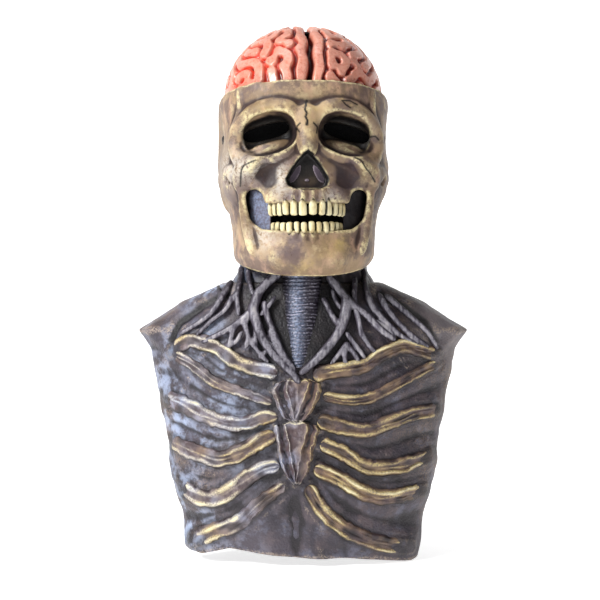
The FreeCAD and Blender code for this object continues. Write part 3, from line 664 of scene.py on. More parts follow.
def sculpt_head(voxel):
    """The skull and jaw as clay, hollow, with its sockets, nose and mouth open."""
    clay = Clay((-103, -128, -270), (103, 118, -52), voxel)
    x, y, z = clay.x, clay.y, clay.z
    form = head_form(x, y, z)
    clay.field = form.copy()
    for side in (-1, 1):
        # brow and socket rims
        rim = [(side * a, b) for a, b in SOCKET_RIM]
        clay.strand(on_face(rim, -1.2), [3.5, 4.6, 4.8, 4.5, 4, 4, 3.6, 4, 4.4, 3.4, 2.6], soft=9)
        # temporal line, cheekbone and zygomatic arch
        line = [(side * a, b) for a, b in TEMPORAL_LINE]
        clay.strand(on_face(line, -1.4), [1.4, 2.2, 2.7, 2.9, 2.6, 2.0], soft=4)
        clay.ball((side * 60, -83, -156), (15, 11, 14), soft=10)
        cheekbone = [(40, -101, -147), (56, -95, -149), (68, -84, -157), (70, -78, -170)]
        clay.strand([(side * a, b, c) for a, b, c in cheekbone], [4.5, 6, 6.5, 5], soft=7)
        arch = [(72, -72, -155), (80, -46, -156), (85, -15, -158), (85, 12, -161)]
        clay.strand([(side * a, b, c) for a, b, c in arch], [5, 4, 3.4, 3], soft=9)
        # temple hollow and the hollow under the cheekbone
        clay.ball((side * 106, -38, -112), (16, 46, 26), carve, soft=14)
        clay.ball((side * 43, -104, -160), (10, 9, 14), carve, soft=10)
        clay.ball((side * 30, -112, -150), (7, 5, 10), carve, soft=9)
        # muzzle and ramus
        ramus = [(66, -79, -172), (64.5, -80, -200), (61, -84, -222), (57, -89, -240)]
        clay.strand([(side * a, b, c) for a, b, c in ramus], [2.6, 2.4, 2.2, 1.2], soft=8)
        clay.ball((side * 81, 22, -176), (8, 14, 14), soft=9)
    # nasal bridge and its wrinkles, brow knot, upper jaw, chin
    clay.strand([(0, -103, -96), (0, -103, -110), (0, -107, -124), (0, -112, -137)], [8, 6.5, 6.5, 5], soft=9)
    clay.ball((0, -98, -184), (42, 11, 14), soft=9)
    clay.ball((0, -101, -246), (34, 12, 13), soft=14)
    for side in (-1, 1):
        clay.ball((side * 24, -102, -250), (14, 9, 10), soft=10)
        for k, (top, foot, out) in enumerate(((3, 8, 0), (6, 13, 2), (10, 18, 4))):
            wrinkle = [(side * top, -103), (side * (top + 2 + out), -114),
                       (side * (foot + out * 0.6), -127 - k)]
            clay.strand(on_face(wrinkle, 2.5 - k * 0.7), [1.2, 1.7, 1.0], soft=2.2)
            clay.strand(on_face([(p[0] + side * 2.2, p[1]) for p in wrinkle], 3.4 - k * 0.8), [0.6, 1.0, 0.5],
                        carve, soft=1.6)
    # tooth roots
    for k in range(12):
        angle = (k - 5.5) * 0.235
        for foot, top, half_x, half_y, size in ((-190, -176, 43.5, 50, 2.6), (-221, -232, 43, 48, 2.3)):
            px, py = half_x * math.sin(angle), -60 - half_y * math.cos(angle)
            clay.strand([(px, py, foot), (px * 0.98, py - 0.3, top)], [size, 0.8], soft=3.5)
    outer = clay.field.copy()

    # eye sockets with a moulded floor, the slit to see through, and the nasal opening
    pockets = np.full_like(outer, 50.0)
    for side in (-1, 1):
        ring, u, w = oval(x, z, side)
        pocket = -join(-(ring + np.maximum(y + 96, 0) * 0.25), -(y + 76.0), 7.0)
        floor = ((u / 23) ** 2 + ((w + 15) / 9.5) ** 2 + ((y + 84) / 13) ** 2) ** 0.5
        pocket = carve(pocket, (floor - 1) * 9.5, 4.0)
        slit = ((np.abs(u) / 25) ** 2.6 + (np.abs(w - 4.5) / 8.0) ** 2.6) ** (1 / 2.6)
        slit = np.maximum((slit - 1) * 8, np.maximum(-90 - y, y + 60))
        pockets = np.minimum(pockets, np.minimum(pocket, slit))
    nose = -join(-nose_outline(x, z), -(y + 93.0), 3.0)
    pockets = np.minimum(pockets, nose)
    clay.field = carve(outer, pockets, 1.6)

    # cheek hollows between muzzle and jaw, and the mouth
    ax = np.abs(x)
    side_edge = np.interp(z, [-214, -205, -190, -172], [55, 60, 63.5, 65])
    muzzle = np.interp(z, [-214, -206, -196, -190, -180, -172], [41, 40, 42, 44, 47, 51])
    roof = -173.5 - 0.10 * (ax - 48) - 0.012 * (ax - 56) ** 2
    foot = -214.5 + 0.02 * (ax - 44) ** 2
    hollow = -join(join(side_edge - ax, ax - muzzle, 7.0), join(z - foot, roof - z, 7.0), 7.0)
    hollow = np.maximum(hollow, y + 40)
    lip = -219.5 + 0.0014 * ax ** 2
    mouth = -join(join(-(z + 189.5), z - lip, 3.0), 49.5 - ax, 5.0)
    mouth = np.maximum(mouth, y + 40)
    clay.field = carve(clay.field, join(hollow, mouth, 3.0), 3.0)

    # hollow inside, keeping walls round the sockets and nose
    inside = np.maximum(np.maximum(form + WALL, outer + 2.8), 3.2 - pockets)
    clay.field = carve(clay.field, inside, 1.0)
    # gum shelves over and under the teeth, the sawn rim, and the jaw's lower and rear edges
    for z0, z1, out_x, out_y, in_x, in_y in ((-190, -174, 45, 51, 37, 41), (-236, -219, 45, 49, 36, 40)):
        out = (((x / out_x) ** 2 + ((y + 60) / out_y) ** 2) ** 0.5 - 1) * 45
        inn = (1 - ((x / in_x) ** 2 + ((y + 60) / in_y) ** 2) ** 0.5) * 38
        band = np.maximum(np.maximum(out, inn), np.maximum(np.maximum(z0 - z, z - z1), y + 62))
        clay.field = join(clay.field, band, 2.5)
    points3 = np.stack(np.broadcast_arrays(x[:, :, :1], y[:, :, :1], 0 * x[:, :, :1]), axis=-1)
    wobble = noise(points3, 9.0, 3)[:, :, 0, None] * 0.9
    clay.field = carve(clay.field, -(z - (RIM_Z - RIM_SLOPE * y + wobble)), 1.0)
    below = np.interp(y, [-130, -60, 6, 22, 26.5, 30], [-272, -257, -247, -232, -200, -172.5])
    clay.field = carve(clay.field, (z - below) * 0.9, 2.0)
    # ear pit
    for side in (-1, 1):
        clay.ball((side * 87, -56, -163), (7, 7, 6), carve, soft=2)
        clay.strand([(side * 87, -60, -166), (side * 82, -66, -176)], [3, 1.2], carve, soft=1.5)
    return clay


def place_gauss(points, places):
    """A soft mask in 0..1 from (centre, reach, height) blobs."""
    total = np.zeros(len(points))
    for centre, reach, height in places:
        d2 = (((points - np.array(centre)) / np.array(reach)) ** 2).sum(axis=1)
        total += height * np.exp(-d2)
    return np.clip(total, 0, 1)


def cracks():
    """Dark crack lines of the skull, each on the face's plain front, with its half width."""
    lines = [
        ([(-1, -83), (-2.2, -89), (-3.2, -93), (-1, -97), (-2.6, -100.5), (-0.6, -104.5), (-1.3, -109)], 0.9),
        ([(36, -82.4), (44.7, -82), (52.3, -86)], 0.5), ([(36, -82.4), (40, -87), (45, -90)], 0.4),
        ([(-54, -145), (-58, -146.5), (-67, -150.5), (-69.3, -155), (-70.2, -171)], 0.5),
        ([(50, -142), (56, -144.6), (60.7, -152), (66.4, -158), (72, -166)], 0.45),
        ([(66, -118), (73, -117), (77, -121)], 0.45), ([(-8, -107), (-12, -111), (-9, -116)], 0.4),
        ([(6, -107), (10, -111), (9, -117)], 0.5),
    ]
    return [(np.array(on_face(pts)), half) for pts, half in lines]


def sculpted(clay, fine=0.35, seed=1, rounds=1):
    """The clay's surface, slightly relaxed, roughened with noise along its normals; with its normals."""
    points, faces = clay.surface()
    edges = edges_of(faces)
    points = spread(points, edges, rounds)
    normals = normals_of(points, faces)
    rough = fractal(points, 7.0, seed, 4, 0.6) * fine
    return points + normals * rough[:, None], faces


def head_paint_layers(points, faces):
    """The skull's paint masks, from its shape, its cracks and its openings."""
    normals = normals_of(points, faces)
    small, large = relief(points, faces, 16), relief(points, faces, 170)
    x, y, z = points.T
    front = y < -40
    ink_and_shade = np.zeros(len(points))
    for line, half in cracks():
        near = line_distance(points[:, [0, 2]], line[:, [0, 2]])
        ragged = half * (1 + 0.5 * noise(points, 4.0, 9))
        ink_and_shade = np.maximum(ink_and_shade, step(ragged + 0.9, ragged - 0.1, near) * front)
    # sockets, painted shade: black deep inside, the left floor kept grey where lit, the right floor darker,
    # and a dark band just inside the upper rim
    for side in (-1, 1):
        ring, u, w = oval(x, z, side)
        inside = step(-0.5, -3.5, ring + 0.8 * noise(points, 7, 12)) * (y > -101) * (y < -60)
        floor = step(-7.5, -10, w) * step(25, 17, np.abs(u)) * step(-1.5, -4.5, ring)
        ink_and_shade = np.maximum(ink_and_shade, inside * (1 - (0.86 if side < 0 else 0.5) * floor) * 0.97)
        ink_and_shade = np.maximum(ink_and_shade, step(2.2, 0.4, np.abs(ring + 1.0)) * step(2, -6, w) * 0.55 * (y < -70))
    # nasal opening's outline and inside
    # painted shade: the nasal opening's rim and its inside darkened, less towards its foot
    edge = np.abs(nose_outline(x, z))
    ink_and_shade = np.maximum(ink_and_shade, step(2.6, 0.9, edge + 0.5 * noise(points, 3.0, 5)) * (y < -88) * (z > -176.5))
    nose = step(0.0, -1.6, nose_outline(x, z)) * (y < -60) * (z > -176.5)
    ink_and_shade = np.maximum(ink_and_shade, nose * (0.94 - 0.3 * step(-158, -170, z)))
    # painted shade: the head's inner walls black
    ink_and_shade = np.maximum(ink_and_shade, inner_walls(points, normals))
    layers = {
        "ridge": np.clip(small * (0.85 + 0.6 * noise(points, 13, 77)), 0, 2), "groove": np.clip(-small, 0, 2),
        "hollow": np.clip(-large * 0.62, 0, 1) * (1 - step(-60, -40, z)),
        "ink_and_shade": np.clip(ink_and_shade, 0, 1),
    }
    return layers


def inner_walls(points, normals):
    """1 on the inner walls of the head, which are painted black as shade, 0 on the outer skin."""
    form = head_form(*(points[:, k].astype(np.float32) for k in range(3)))
    outward = normals[:, 0] * points[:, 0] + normals[:, 1] * points[:, 1]
    inward = -outward / np.hypot(points[:, 0], points[:, 1])
    return step(-2.6, -3.4, form) * step(-70, -60, points[:, 1]) * step(-0.35, 0.0, inward)


# Patches of the skull's paint, each a centre, its reach and its strength; the pale ones, mostly on the left,
# are painted light.
HEAD_PATCHES = {
    "warm": [((0, -105, -95), (24, 40, 14), 0.45), ((-45, -95, -93), (26, 40, 8), 0.45),
             ((45, -95, -80), (22, 30, 10), 0.5), ((-58, -88, -150), (14, 20, 12), 0.8),
             ((60, -88, -150), (12, 20, 14), 0.5), ((34, -100, -232), (14, 30, 14), 0.9),
             ((-5, -105, -252), (30, 30, 8), 0.7), ((0, -105, -128), (9, 30, 14), 0.6)],
    "cool": [((-42, -100, -160), (15, 30, 18), 1.2), ((42, -100, -160), (15, 30, 18), 1.2),
             ((-20, -105, -235), (22, 20, 14), 0.8), ((0, -110, -185), (26, 20, 8), 0.7),
             ((-90, -40, -170), (20, 40, 26), 0.6), ((70, -70, -95), (14, 40, 20), 0.6),
             ((0, 100, -120), (90, 60, 50), 0.4)],
    "pale": [((-60, -90, -152), (18, 30, 12), 0.8), ((-30, -105, -165), (11, 20, 18), 0.9),
             ((-84, -60, -150), (14, 40, 22), 0.6), ((-48, -95, -225), (16, 20, 14), 0.6),
             ((24, -108, -182), (10, 20, 8), 0.4)],
}
# Painted shade on the skull, each a centre, its reach and its strength: strongest under the right cheekbone
# and on the right temple and jaw, weaker on the left and under the brain's rim.
HEAD_SHADOWS = [((44, -100, -163), (15, 30, 18), 0.7), ((-44, -100, -163), (12, 30, 14), 0.4),
                ((74, -60, -168), (16, 30, 34), 0.7), ((62, -80, -235), (12, 30, 24), 0.35),
                ((0, -100, -76), (40, 30, 6), 0.3), ((-74, -60, -190), (12, 30, 30), 0.3),
                ((78, -60, -110), (14, 30, 34), 0.4)]


def build_head():
    clay = sculpt_head(1.15)
    points, faces = sculpted(clay)
    layers = head_paint_layers(points, faces)
    normals = normals_of(points, faces)
    paint = bone_paint()
    middle = points[faces].mean(axis=1)
    x, y, z = middle.T
    muzzle = (np.abs(x) < 52) & (z > -205) & (y < -58)
    above = (z > SKULL_BASE_Z) | muzzle
    for layer, patches in HEAD_PATCHES.items():
        layers[layer] = place_gauss(points, patches)
    # the painted shade deepens the hollow layer
    layers["hollow"] = np.clip(layers["hollow"] + place_gauss(points, HEAD_SHADOWS), 0, 1)
    names = list(layers)
    for name, keep, body in (("face_shell", above & (y < FACE_SEAM_Y), "mask"),
                             ("cranium_shell", above & (y >= FACE_SEAM_Y), "mask"),
                             ("jaw_shell", ~above, (-173, -190))):
        p, f, rest = submesh(points, faces, keep, [normals] + [layers[n] for n in names])
        make("skin_" + name, turn(p), f, dict(zip(names, rest[1:])), turn(rest[0]), paint, body, (name,))


# ---- the brain -----------------------------------------------------------------------------------------
BRAIN_CENTRE_Z, BRAIN_HALF = -67.0, (87.0, 99.0, 80.0)
FOLD_WIDTH = 15.5           # from furrow to furrow


def finer(points, faces):
    """Each triangle as four, on the unit ball."""
    pairs = np.vstack([faces[:, [0, 1]], faces[:, [1, 2]], faces[:, [2, 0]]])
    edges, number = np.unique(np.sort(pairs, axis=1), axis=0, return_inverse=True)
    middle = points[edges].mean(axis=1)
    middle /= np.linalg.norm(middle, axis=1)[:, None]
    ab, bc, ca = (number.ravel()[k * len(faces):(k + 1) * len(faces)] + len(points) for k in range(3))
    a, b, c = faces.T
    faces = np.vstack([np.stack(t, axis=1) for t in ((a, ab, ca), (b, bc, ab), (c, ca, bc), (ab, bc, ca))])
    return np.vstack([points, middle]), faces, edges


def icosahedron():
    g = (1 + 5 ** 0.5) / 2
    points = np.array([(-1, g, 0), (1, g, 0), (-1, -g, 0), (1, -g, 0), (0, -1, g), (0, 1, g),
                       (0, -1, -g), (0, 1, -g), (g, 0, -1), (g, 0, 1), (-g, 0, -1), (-g, 0, 1)], dtype=float)
    faces = np.array([(0, 11, 5), (0, 5, 1), (0, 1, 7), (0, 7, 10), (0, 10, 11), (1, 5, 9), (5, 11, 4),
                      (11, 10, 2), (10, 7, 6), (7, 1, 8), (3, 9, 4), (3, 4, 2), (3, 2, 6), (3, 6, 8),
                      (3, 8, 9), (4, 9, 5), (2, 4, 11), (6, 2, 10), (8, 6, 7), (9, 8, 1)])
    return points / np.linalg.norm(points, axis=1)[:, None], faces


def fissure_x(y, z):
    """The x of the cleft between the brain's halves."""
    return 3.0 + 1.6 * np.sin(y / 17.0) + 1.2 * np.sin(y / 7.3 + z / 9.0)


def grow_folds(points, faces, steps):
    """A winding stripe pattern of one wavelength, grown from noise: 1 on folds, -1 in furrows."""
    edges = edges_of(faces)
    a, b, n = edges[:, 0], edges[:, 1], len(points)
    degree = np.bincount(a, minlength=n) + np.bincount(b, minlength=n)
    real = points * np.array(BRAIN_HALF)
    spacing = float(np.mean(np.linalg.norm(real[a] - real[b], axis=1)))
    pull = 4 / spacing ** 2 / (2 * math.pi / FOLD_WIDTH) ** 2

    def level(u):
        near = np.bincount(a, u[b], minlength=n) + np.bincount(b, u[a], minlength=n)
        return pull * (near / degree - u)
    u = fractal(real, 13.0, 21, 2) * 0.6
    pace = min(0.5, 1.5 / (1 - 1.5 * pull) ** 2)
    cleft = np.abs(real[:, 0] - fissure_x(real[:, 1], real[:, 2] + BRAIN_CENTRE_Z)) < spacing * 1.1
    for _ in range(steps):
        u[cleft] = -1.0
        v = u + level(u)
        u = u + pace * (0.8 * u - (v + level(v)) - u ** 3 + 0.10 * u * u)
    return u / np.percentile(np.abs(u), 97)


# Redder patches of the brain, each a centre, its reach and its strength.
BRAIN_FLUSH = [((-62, -50, -45), (34, 60, 40), 1.0), ((-30, -90, -25), (30, 30, 14), 0.5),
               ((60, -40, -60), (20, 60, 20), 0.35), ((-50, 60, -50), (40, 40, 30), 0.6)]


def build_brain():
    points, faces = icosahedron()
    for _ in range(6):
        points, faces = finer(points, faces)[:2]
    folds = grow_folds(points, faces, 1500)
    points, faces, edges = finer(points, faces)
    folds = np.concatenate([folds, folds[edges].mean(axis=1)])
    folds = spread(folds, edges_of(faces), 2)
    real = points * np.array(BRAIN_HALF) + np.array([0, 0, BRAIN_CENTRE_Z])
    normals = points / np.array(BRAIN_HALF)
    normals /= np.linalg.norm(normals, axis=1)[:, None]
    furrow = step(-0.35, -0.95, folds)
    crown = step(-0.95, 0.0, folds)
    offset = real[:, 0] - fissure_x(real[:, 1], real[:, 2])
    cleft = np.exp(-(offset / 3.0) ** 2)
    lift = 2.2 * crown - 3.0 * furrow - 7.0 * cleft - 2.0 * np.exp(-(offset / 9.0) ** 2)
    lift += 0.5 * fractal(real, 9, 4, 3) - 1.5
    real = real + normals * lift[:, None]
    keep_height = real[:, 2] > RIM_Z - RIM_SLOPE * real[:, 1] - 6
    keep = keep_height[faces].all(axis=1)
    ink_and_shade = step(0.25, 0.85, cleft) * (0.75 + 0.25 * noise(real, 6, 8))
    layers = {"hollow": np.clip(furrow, 0, 1), "ridge": np.clip(crown, 0, 1), "ink_and_shade": np.clip(ink_and_shade, 0, 1),
              "warm": place_gauss(real, BRAIN_FLUSH)}
    names = list(layers)
    p, f, rest = submesh(real, faces, keep, [layers[n] for n in names])
    p = turn(p)
    make("brain_folds", p, f, dict(zip(names, rest)), normals_of(p, f), brain_paint(), "mask", ("brain_cap",))


# ---- teeth ----------------------------------------------------------------------------------------------
ARCH_Y = -60.0
UPPER = dict(widths=(10, 8.8, 8.8, 7.6, 7.4, 7), half=(44.5, 51.5), root=-186.0, tip=-202.9, pointed=0.55)
LOWER = dict(widths=(7.6, 7.6, 8, 7.6, 7.4, 7), half=(43.0, 49.0), root=-222.5, tip=-209.2, pointed=0.95)


def arch_place(along, half):
    """Where a distance along the tooth arch from its middle falls: x, y and the arch's turn there."""
    angle, gone = 0.0, 0.0
    while gone < abs(along):
        angle += 0.002
        gone += 0.002 * math.hypot(half[0] * math.cos(angle), half[1] * math.sin(angle))
    side = 1 if along >= 0 else -1
    x, y = half[0] * math.sin(angle), ARCH_Y - half[1] * math.cos(angle)
    return side * x, y, side * math.atan2(half[1] * math.sin(angle), half[0] * math.cos(angle))


def build_teeth(name, row, rng, body, node, paint):
    """One row of teeth as clay: each a tapering peg with its own lean, length and width."""
    voxel = 0.6
    low_z, high_z = min(row["root"], row["tip"]) - 5, max(row["root"], row["tip"]) + 5
    clay = Clay((-50, -118, low_z), (50, -66, high_z), voxel)
    along, crowns = 0.0, []
    for k, width in enumerate(row["widths"]):
        for side in (-1, 1):
            x0, y0, bend = arch_place(side * (along + width / 2), row["half"])
            lean, lift, grow = rng.normal(0, 0.05), rng.normal(0, 0.35), 1 + rng.normal(0, 0.05)
            away = np.sign(row["root"] - row["tip"])
            root = row["root"] + (1.8 if k == 2 else 0) * away
            root += (k > 2) * (k - 2) * -0.9 * away
            tip = row["tip"] + lift
            outline = [0.15, 0.45 - 0.3 * row["pointed"], 0.85 - 0.12 * row["pointed"], 1.0, 0.96, 0.86]
            half_w, cos, sin = (width / 2 - 0.25) * grow, math.cos(bend), math.sin(bend)
            crowns.append((x0, y0, cos, sin, half_w))

            def shape(x, y, z):
                u, v = (x - x0) * cos + (y - y0) * sin, (y - y0) * cos - (x - x0) * sin
                s = (z - root) / (tip - root)
                u = u - lean * (z - tip)
                wide = half_w * np.interp(s, [-0.15, 0.0, 0.2, 0.5, 0.85, 1.0], outline)
                deep = 3.6 * np.interp(s, [-0.2, 0.3, 0.8, 1.0], [0.7, 1.0, 0.8, 0.45])
                ring = ((np.abs(u) / wide) ** 2.4 + (np.abs(v + 0.6 * s) / deep) ** 2.4) ** (1 / 2.4)
                peg = (ring - 1) * np.minimum(wide, deep)
                length = abs(tip - root)
                caps = np.maximum(-0.06 - s, s - 1 + 0.04 * (u / half_w) ** 2) * length
                return -join(-peg, -caps, 1.5)
            clay.work(shape, lambda a, b, soft: np.minimum(a, b), 0, (x0 - 9, y0 - 9, low_z),
                      (x0 + 9, y0 + 9, high_z))
        along += width
    points, faces = clay.surface()
    points = spread(points, edges_of(faces), 1)
    normals = normals_of(points, faces)
    points = points + normals * (0.12 * fractal(points * np.array([1, 1, 0.4]), 1.6, 6, 2))[:, None]
    hollow = relief(points, faces, 26)
    s = (points[:, 2] - row["root"]) / (row["tip"] - row["root"])
    radius = np.hypot(points[:, 0] / row["half"][0], (points[:, 1] - ARCH_Y) / row["half"][1])
    # painted shade: the teeth's backs, inside the arch, nearly black
    ink_and_shade = step(0.99, 0.955, radius) * 0.9 + step(0.12, -0.02, s) * 0.5
    ink_and_shade = np.maximum(ink_and_shade, step(0.04, -0.20, hollow) * 0.95)
    x0, y0, cos, sin, half_w = (np.array(column)[:, None] for column in zip(*crowns))
    across = (points[:, 0] - x0) * cos + (points[:, 1] - y0) * sin
    behind = (points[:, 1] - y0) * cos - (points[:, 0] - x0) * sin
    nearest = np.argmin(np.hypot(across, behind), axis=0)
    share = np.abs(across[nearest, np.arange(len(points))]) / half_w[nearest, 0]
    ink_and_shade = np.maximum(ink_and_shade, step(0.74, 0.96, share) * 0.95)
    ink_and_shade = np.maximum(ink_and_shade, step(0.14, 0.0, s) * 0.9)
    hollow = np.clip(step(0.45, 0.0, s) * 0.6 + step(0.0, -0.4, hollow), 0, 1)
    layers = {"hollow": hollow, "ink_and_shade": np.clip(ink_and_shade, 0, 1)}
    make(name, turn(points), faces, layers, None, paint, body, (node,))


# ---- the nose, the cheek webs and what lies inside ---------------------------------------------------------
def build_nose(paint):
    """The soft nose: two wings, a tip and two nostrils; the nostrils and its rim against the opening's edge
    painted dark as shade.
    """
    clay = Clay((-27, -124, -182), (27, -84, -130), 0.75)
    clay.strand([(0, -98, -135), (0, -105, -148), (0, -112, -160), (0, -113, -168)], [2, 6, 8, 8], soft=1)
    for side in (-1, 1):
        clay.ball((side * 10.5, -104, -166), (8.5, 9, 8.5), soft=5)
        wing = [(side * 4, -99, -144), (side * 12, -98, -158), (side * 18, -97, -167)]
        clay.strand(wing, [3, 4, 3], soft=5)
    clay.ball((0, -104, -165), (12, 11, 9), soft=5)
    for side in (-1, 1):
        clay.ball((side * 9.3, -112, -168.5), (4.6, 9, 3.4), carve, soft=1.5, tilt=side * 0.3)
    clay.strand([(0, -118, -165), (0, -115, -176)], [0.5, 1.0], carve, soft=1.5)
    clay.field = carve(clay.field, clay.y + 94.0, 1.0)
    points, faces = sculpted(clay, 0.3, 13)
    # painted shade: the nostril pits black and the nose's rim against the opening's edge dark
    deep = np.zeros(len(points))
    for side in (-1, 1):
        d = np.linalg.norm((points - np.array((side * 9.3, -112, -168.5))) / np.array((4.8, 9, 3.6)), axis=1)
        deep = np.maximum(deep, step(1.12, 0.92, d))
    edge = nose_outline(points[:, 0], points[:, 2])
    ink_and_shade = np.maximum(deep, step(-3.4, -1.6, edge + 0.6 * noise(points, 3, 2)))
    small, large = relief(points, faces, 6), relief(points, faces, 40)
    layers = {"ridge": np.clip(small, 0, 1), "hollow": np.clip(-large * 0.5, 0, 1), "ink_and_shade": ink_and_shade,
              # painted highlight: blue-grey on the tip's left
              "cool": place_gauss(points, [((-5, -114, -160), (8, 12, 10), 0.8)])}
    points = turn(points)
    make("nose_gristle", points, faces, layers, normals_of(points, faces), paint, "mask", ("nose_cartilage",))


def build_web(side, name, paint):
    """The wrinkled skin at the bottom of a cheek hollow, from the cheekbone down to the jaw."""
    voxel = 0.9
    x0, x1 = sorted((side * 34, side * 70))
    clay = Clay((x0, -98, -222), (x1, -40, -166), voxel)
    x, y, z = clay.x, clay.y, clay.z
    plain = head_front(np.abs(x), z)
    ax = np.abs(x)
    points3 = np.stack(np.broadcast_arrays(x, 0 * x, z), axis=-1)
    fold = fractal(points3[:, :1], 9, 31, 3)[:, :1] * 1.6
    recess = 10 + 5.5 * step(58, 66, ax) + 3 * step(-176, -170, z) + fold
    skin = np.abs(y - (plain + recess)) - 1.3
    edge = np.maximum(np.maximum(ax - 67.5, 38 - ax), np.maximum(-218 - z, z + 169))
    clay.field = -join(-(skin * 0.8), -edge, 1.5)
    points, faces = sculpted(clay, 0.25, 17)
    small, large = relief(points, faces, 6), relief(points, faces, 40)
    # painted shade: the strip by the jaw and the top under the cheekbone darkened, and the right web dark all
    # over, in shadow
    ink_and_shade = step(56, 64, np.abs(points[:, 0]) + 3 * noise(points, 8, 4)) * 0.96
    if side > 0:
        ink_and_shade = np.maximum(ink_and_shade, 0.9)
    ink_and_shade = np.maximum(ink_and_shade, step(-178, -171, points[:, 2]) * 0.7)
    layers = {"ridge": np.clip(small, 0, 1), "hollow": np.clip(-large, 0, 1), "ink_and_shade": ink_and_shade,
              "cool": np.clip(0.9 - ink_and_shade, 0, 1)}
    points = turn(points)
    make(name, points, faces, layers, normals_of(points, faces), paint, (-180, -208), (name,))


# ---- the neck and bust ---------------------------------------------------------------------------------
NECK_SECTIONS = [               # height, half width, front, back
    (-173, 83, -56, 103), (-183, 77, -58, 99), (-195, 73, -59, 94), (-220, 70, -58, 84), (-244, 69, -57, 76),
    (-256, 71, -58, 74), (-272, 80, -60, 74),
]
BUST_SECTIONS = [               # height, half width, front, back, front edge, back edge, fullness
    (-268, 81, -60, 74, 4.8, 5.2, 2.0), (-280, 106, -64, 78, 4.8, 5.2, 1.9),
    (-293, 137, -68, 82, 4.8, 5.2, 1.7), (-311, 160, -72, 87, 4.8, 5.2, 1.5),
    (-324, 182, -75, 90, 4.8, 5.2, 1.4), (-345, 169, -79, 93, 0, 14, 1.5),
    (-380, 163, -82, 96, -4, 20, 1.6), (-420, 156, -84, 97, -6, 24, 1.7),
    (-460, 148, -85, 96, -8, 26, 1.7), (-500, 140, -84, 93, -10, 28, 1.7),
    (-540, 131, -80, 89, -12, 30, 1.6), (-575, 125, -75, 85, -14, 32, 1.6),
]
NECK_Z, NECK_LINES = smooth_table(NECK_SECTIONS, 4.0)
BUST_Z, BUST_LINES = smooth_table(BUST_SECTIONS, 2.0)
NECK_FOOT_Z, BACK_HEM_Z = -272.0, -540.0
SLIT_HALF, SLIT_FOOT_Z = 1.5, -420.0
HEM = [(-150, -568), (-125, -562), (-109, -566), (-80, -558), (-42, -562), (-6, -566), (40, -567), (78, -570),
       (118, -575), (150, -566)]

# Each bone of the chest: points along its middle (x, z), and its half height at each end.
BONES = {
    "clavicle_left": ([(-140, -343), (-120, -335), (-96, -341), (-74, -355), (-52, -363), (-27, -369)], 6, 7),
    "clavicle_right": ([(10, -371), (34, -366), (62, -362), (84, -350), (106, -341), (126, -345),
                        (146, -351)], 7, 6),
    "rib_1_left": ([(-141, -350), (-118, -362), (-94, -379), (-62, -390), (-33, -400)], 5, 4),
    "rib_2_left": ([(-151, -399), (-125, -406), (-96, -419), (-68, -423), (-44, -416), (-27, -414)], 8, 6),
    "rib_3_left": ([(-144, -448), (-118, -455), (-90, -461), (-66, -453), (-44, -440), (-29, -434)], 8, 7),
    "rib_4_left": ([(-137, -494), (-112, -505), (-86, -500), (-62, -482), (-42, -469), (-25, -466)], 9, 6),
    "rib_5_left": ([(-124, -556), (-98, -541), (-68, -528), (-46, -507), (-20, -486)], 9, 5),
    "rib_1_right": ([(21, -393), (46, -397), (72, -395), (98, -383), (124, -370), (147, -360)], 5, 4),
    "rib_2_right": ([(15, -418), (42, -426), (68, -430), (95, -421), (122, -414), (147, -412)], 7, 6),
    "rib_3_right": ([(18, -443), (42, -453), (66, -468), (92, -470), (116, -467), (141, -460)], 7, 7),
    "rib_4_right": ([(12, -468), (38, -480), (64, -496), (92, -502), (132, -498)], 7, 7),
    "rib_5_right": ([(5, -487), (20, -513), (44, -534), (76, -550), (116, -560)], 6, 8),
}
# The breastbone's two plates: height, left edge, right edge, from the top down.
PLATES = {
    "manubrium": [(-376, -20, 8), (-380, -29, 18), (-388, -32, 19), (-398, -29, 15), (-408, -25, 9),
                  (-416, -20, 3), (-420, -11, -3)],
    "sternum_body": [(-420, -14, 0), (-424, -30, 14), (-430, -31, 17), (-442, -27, 13), (-456, -25, 9),
                     (-468, -22, 6), (-478, -17, 1), (-486, -9, -5)],
}


def bust_at(z):
    return [np.interp(z, BUST_Z, line) for line in BUST_LINES]


def bust_y(x, z, side=-1):
    """The y of the bust's outer skin at (x, z): side -1 is the chest, 1 the back."""
    half, front, back, front_edge, back_edge, full = bust_at(z)
    edge, middle = (front_edge, front) if side < 0 else (back_edge, back)
    return edge + side * np.abs(middle - edge) * np.clip(1 - np.abs(x / half) ** 2.2, 0, 1) ** (1 / full)


def neck_y(x, z, side):
    """The y of the neck's plain skin at (x, z): side -1 is the throat, 1 the nape."""
    half, front, back = [np.interp(z, NECK_Z, line) for line in NECK_LINES]
    reach = np.clip(1 - np.abs(x / half) ** 2.2, 0, 1) ** (1 / 2.2)
    return (front + back) / 2 + side * (back - front) / 2 * reach


def throat_y(x, z):
    """The y of whichever stands further forward at (x, z), neck or chest."""
    neck = neck_y(x, z, -1)
    return np.where(np.asarray(z) > -270, neck, np.minimum(bust_y(x, z), neck * (np.asarray(z) > -276)))


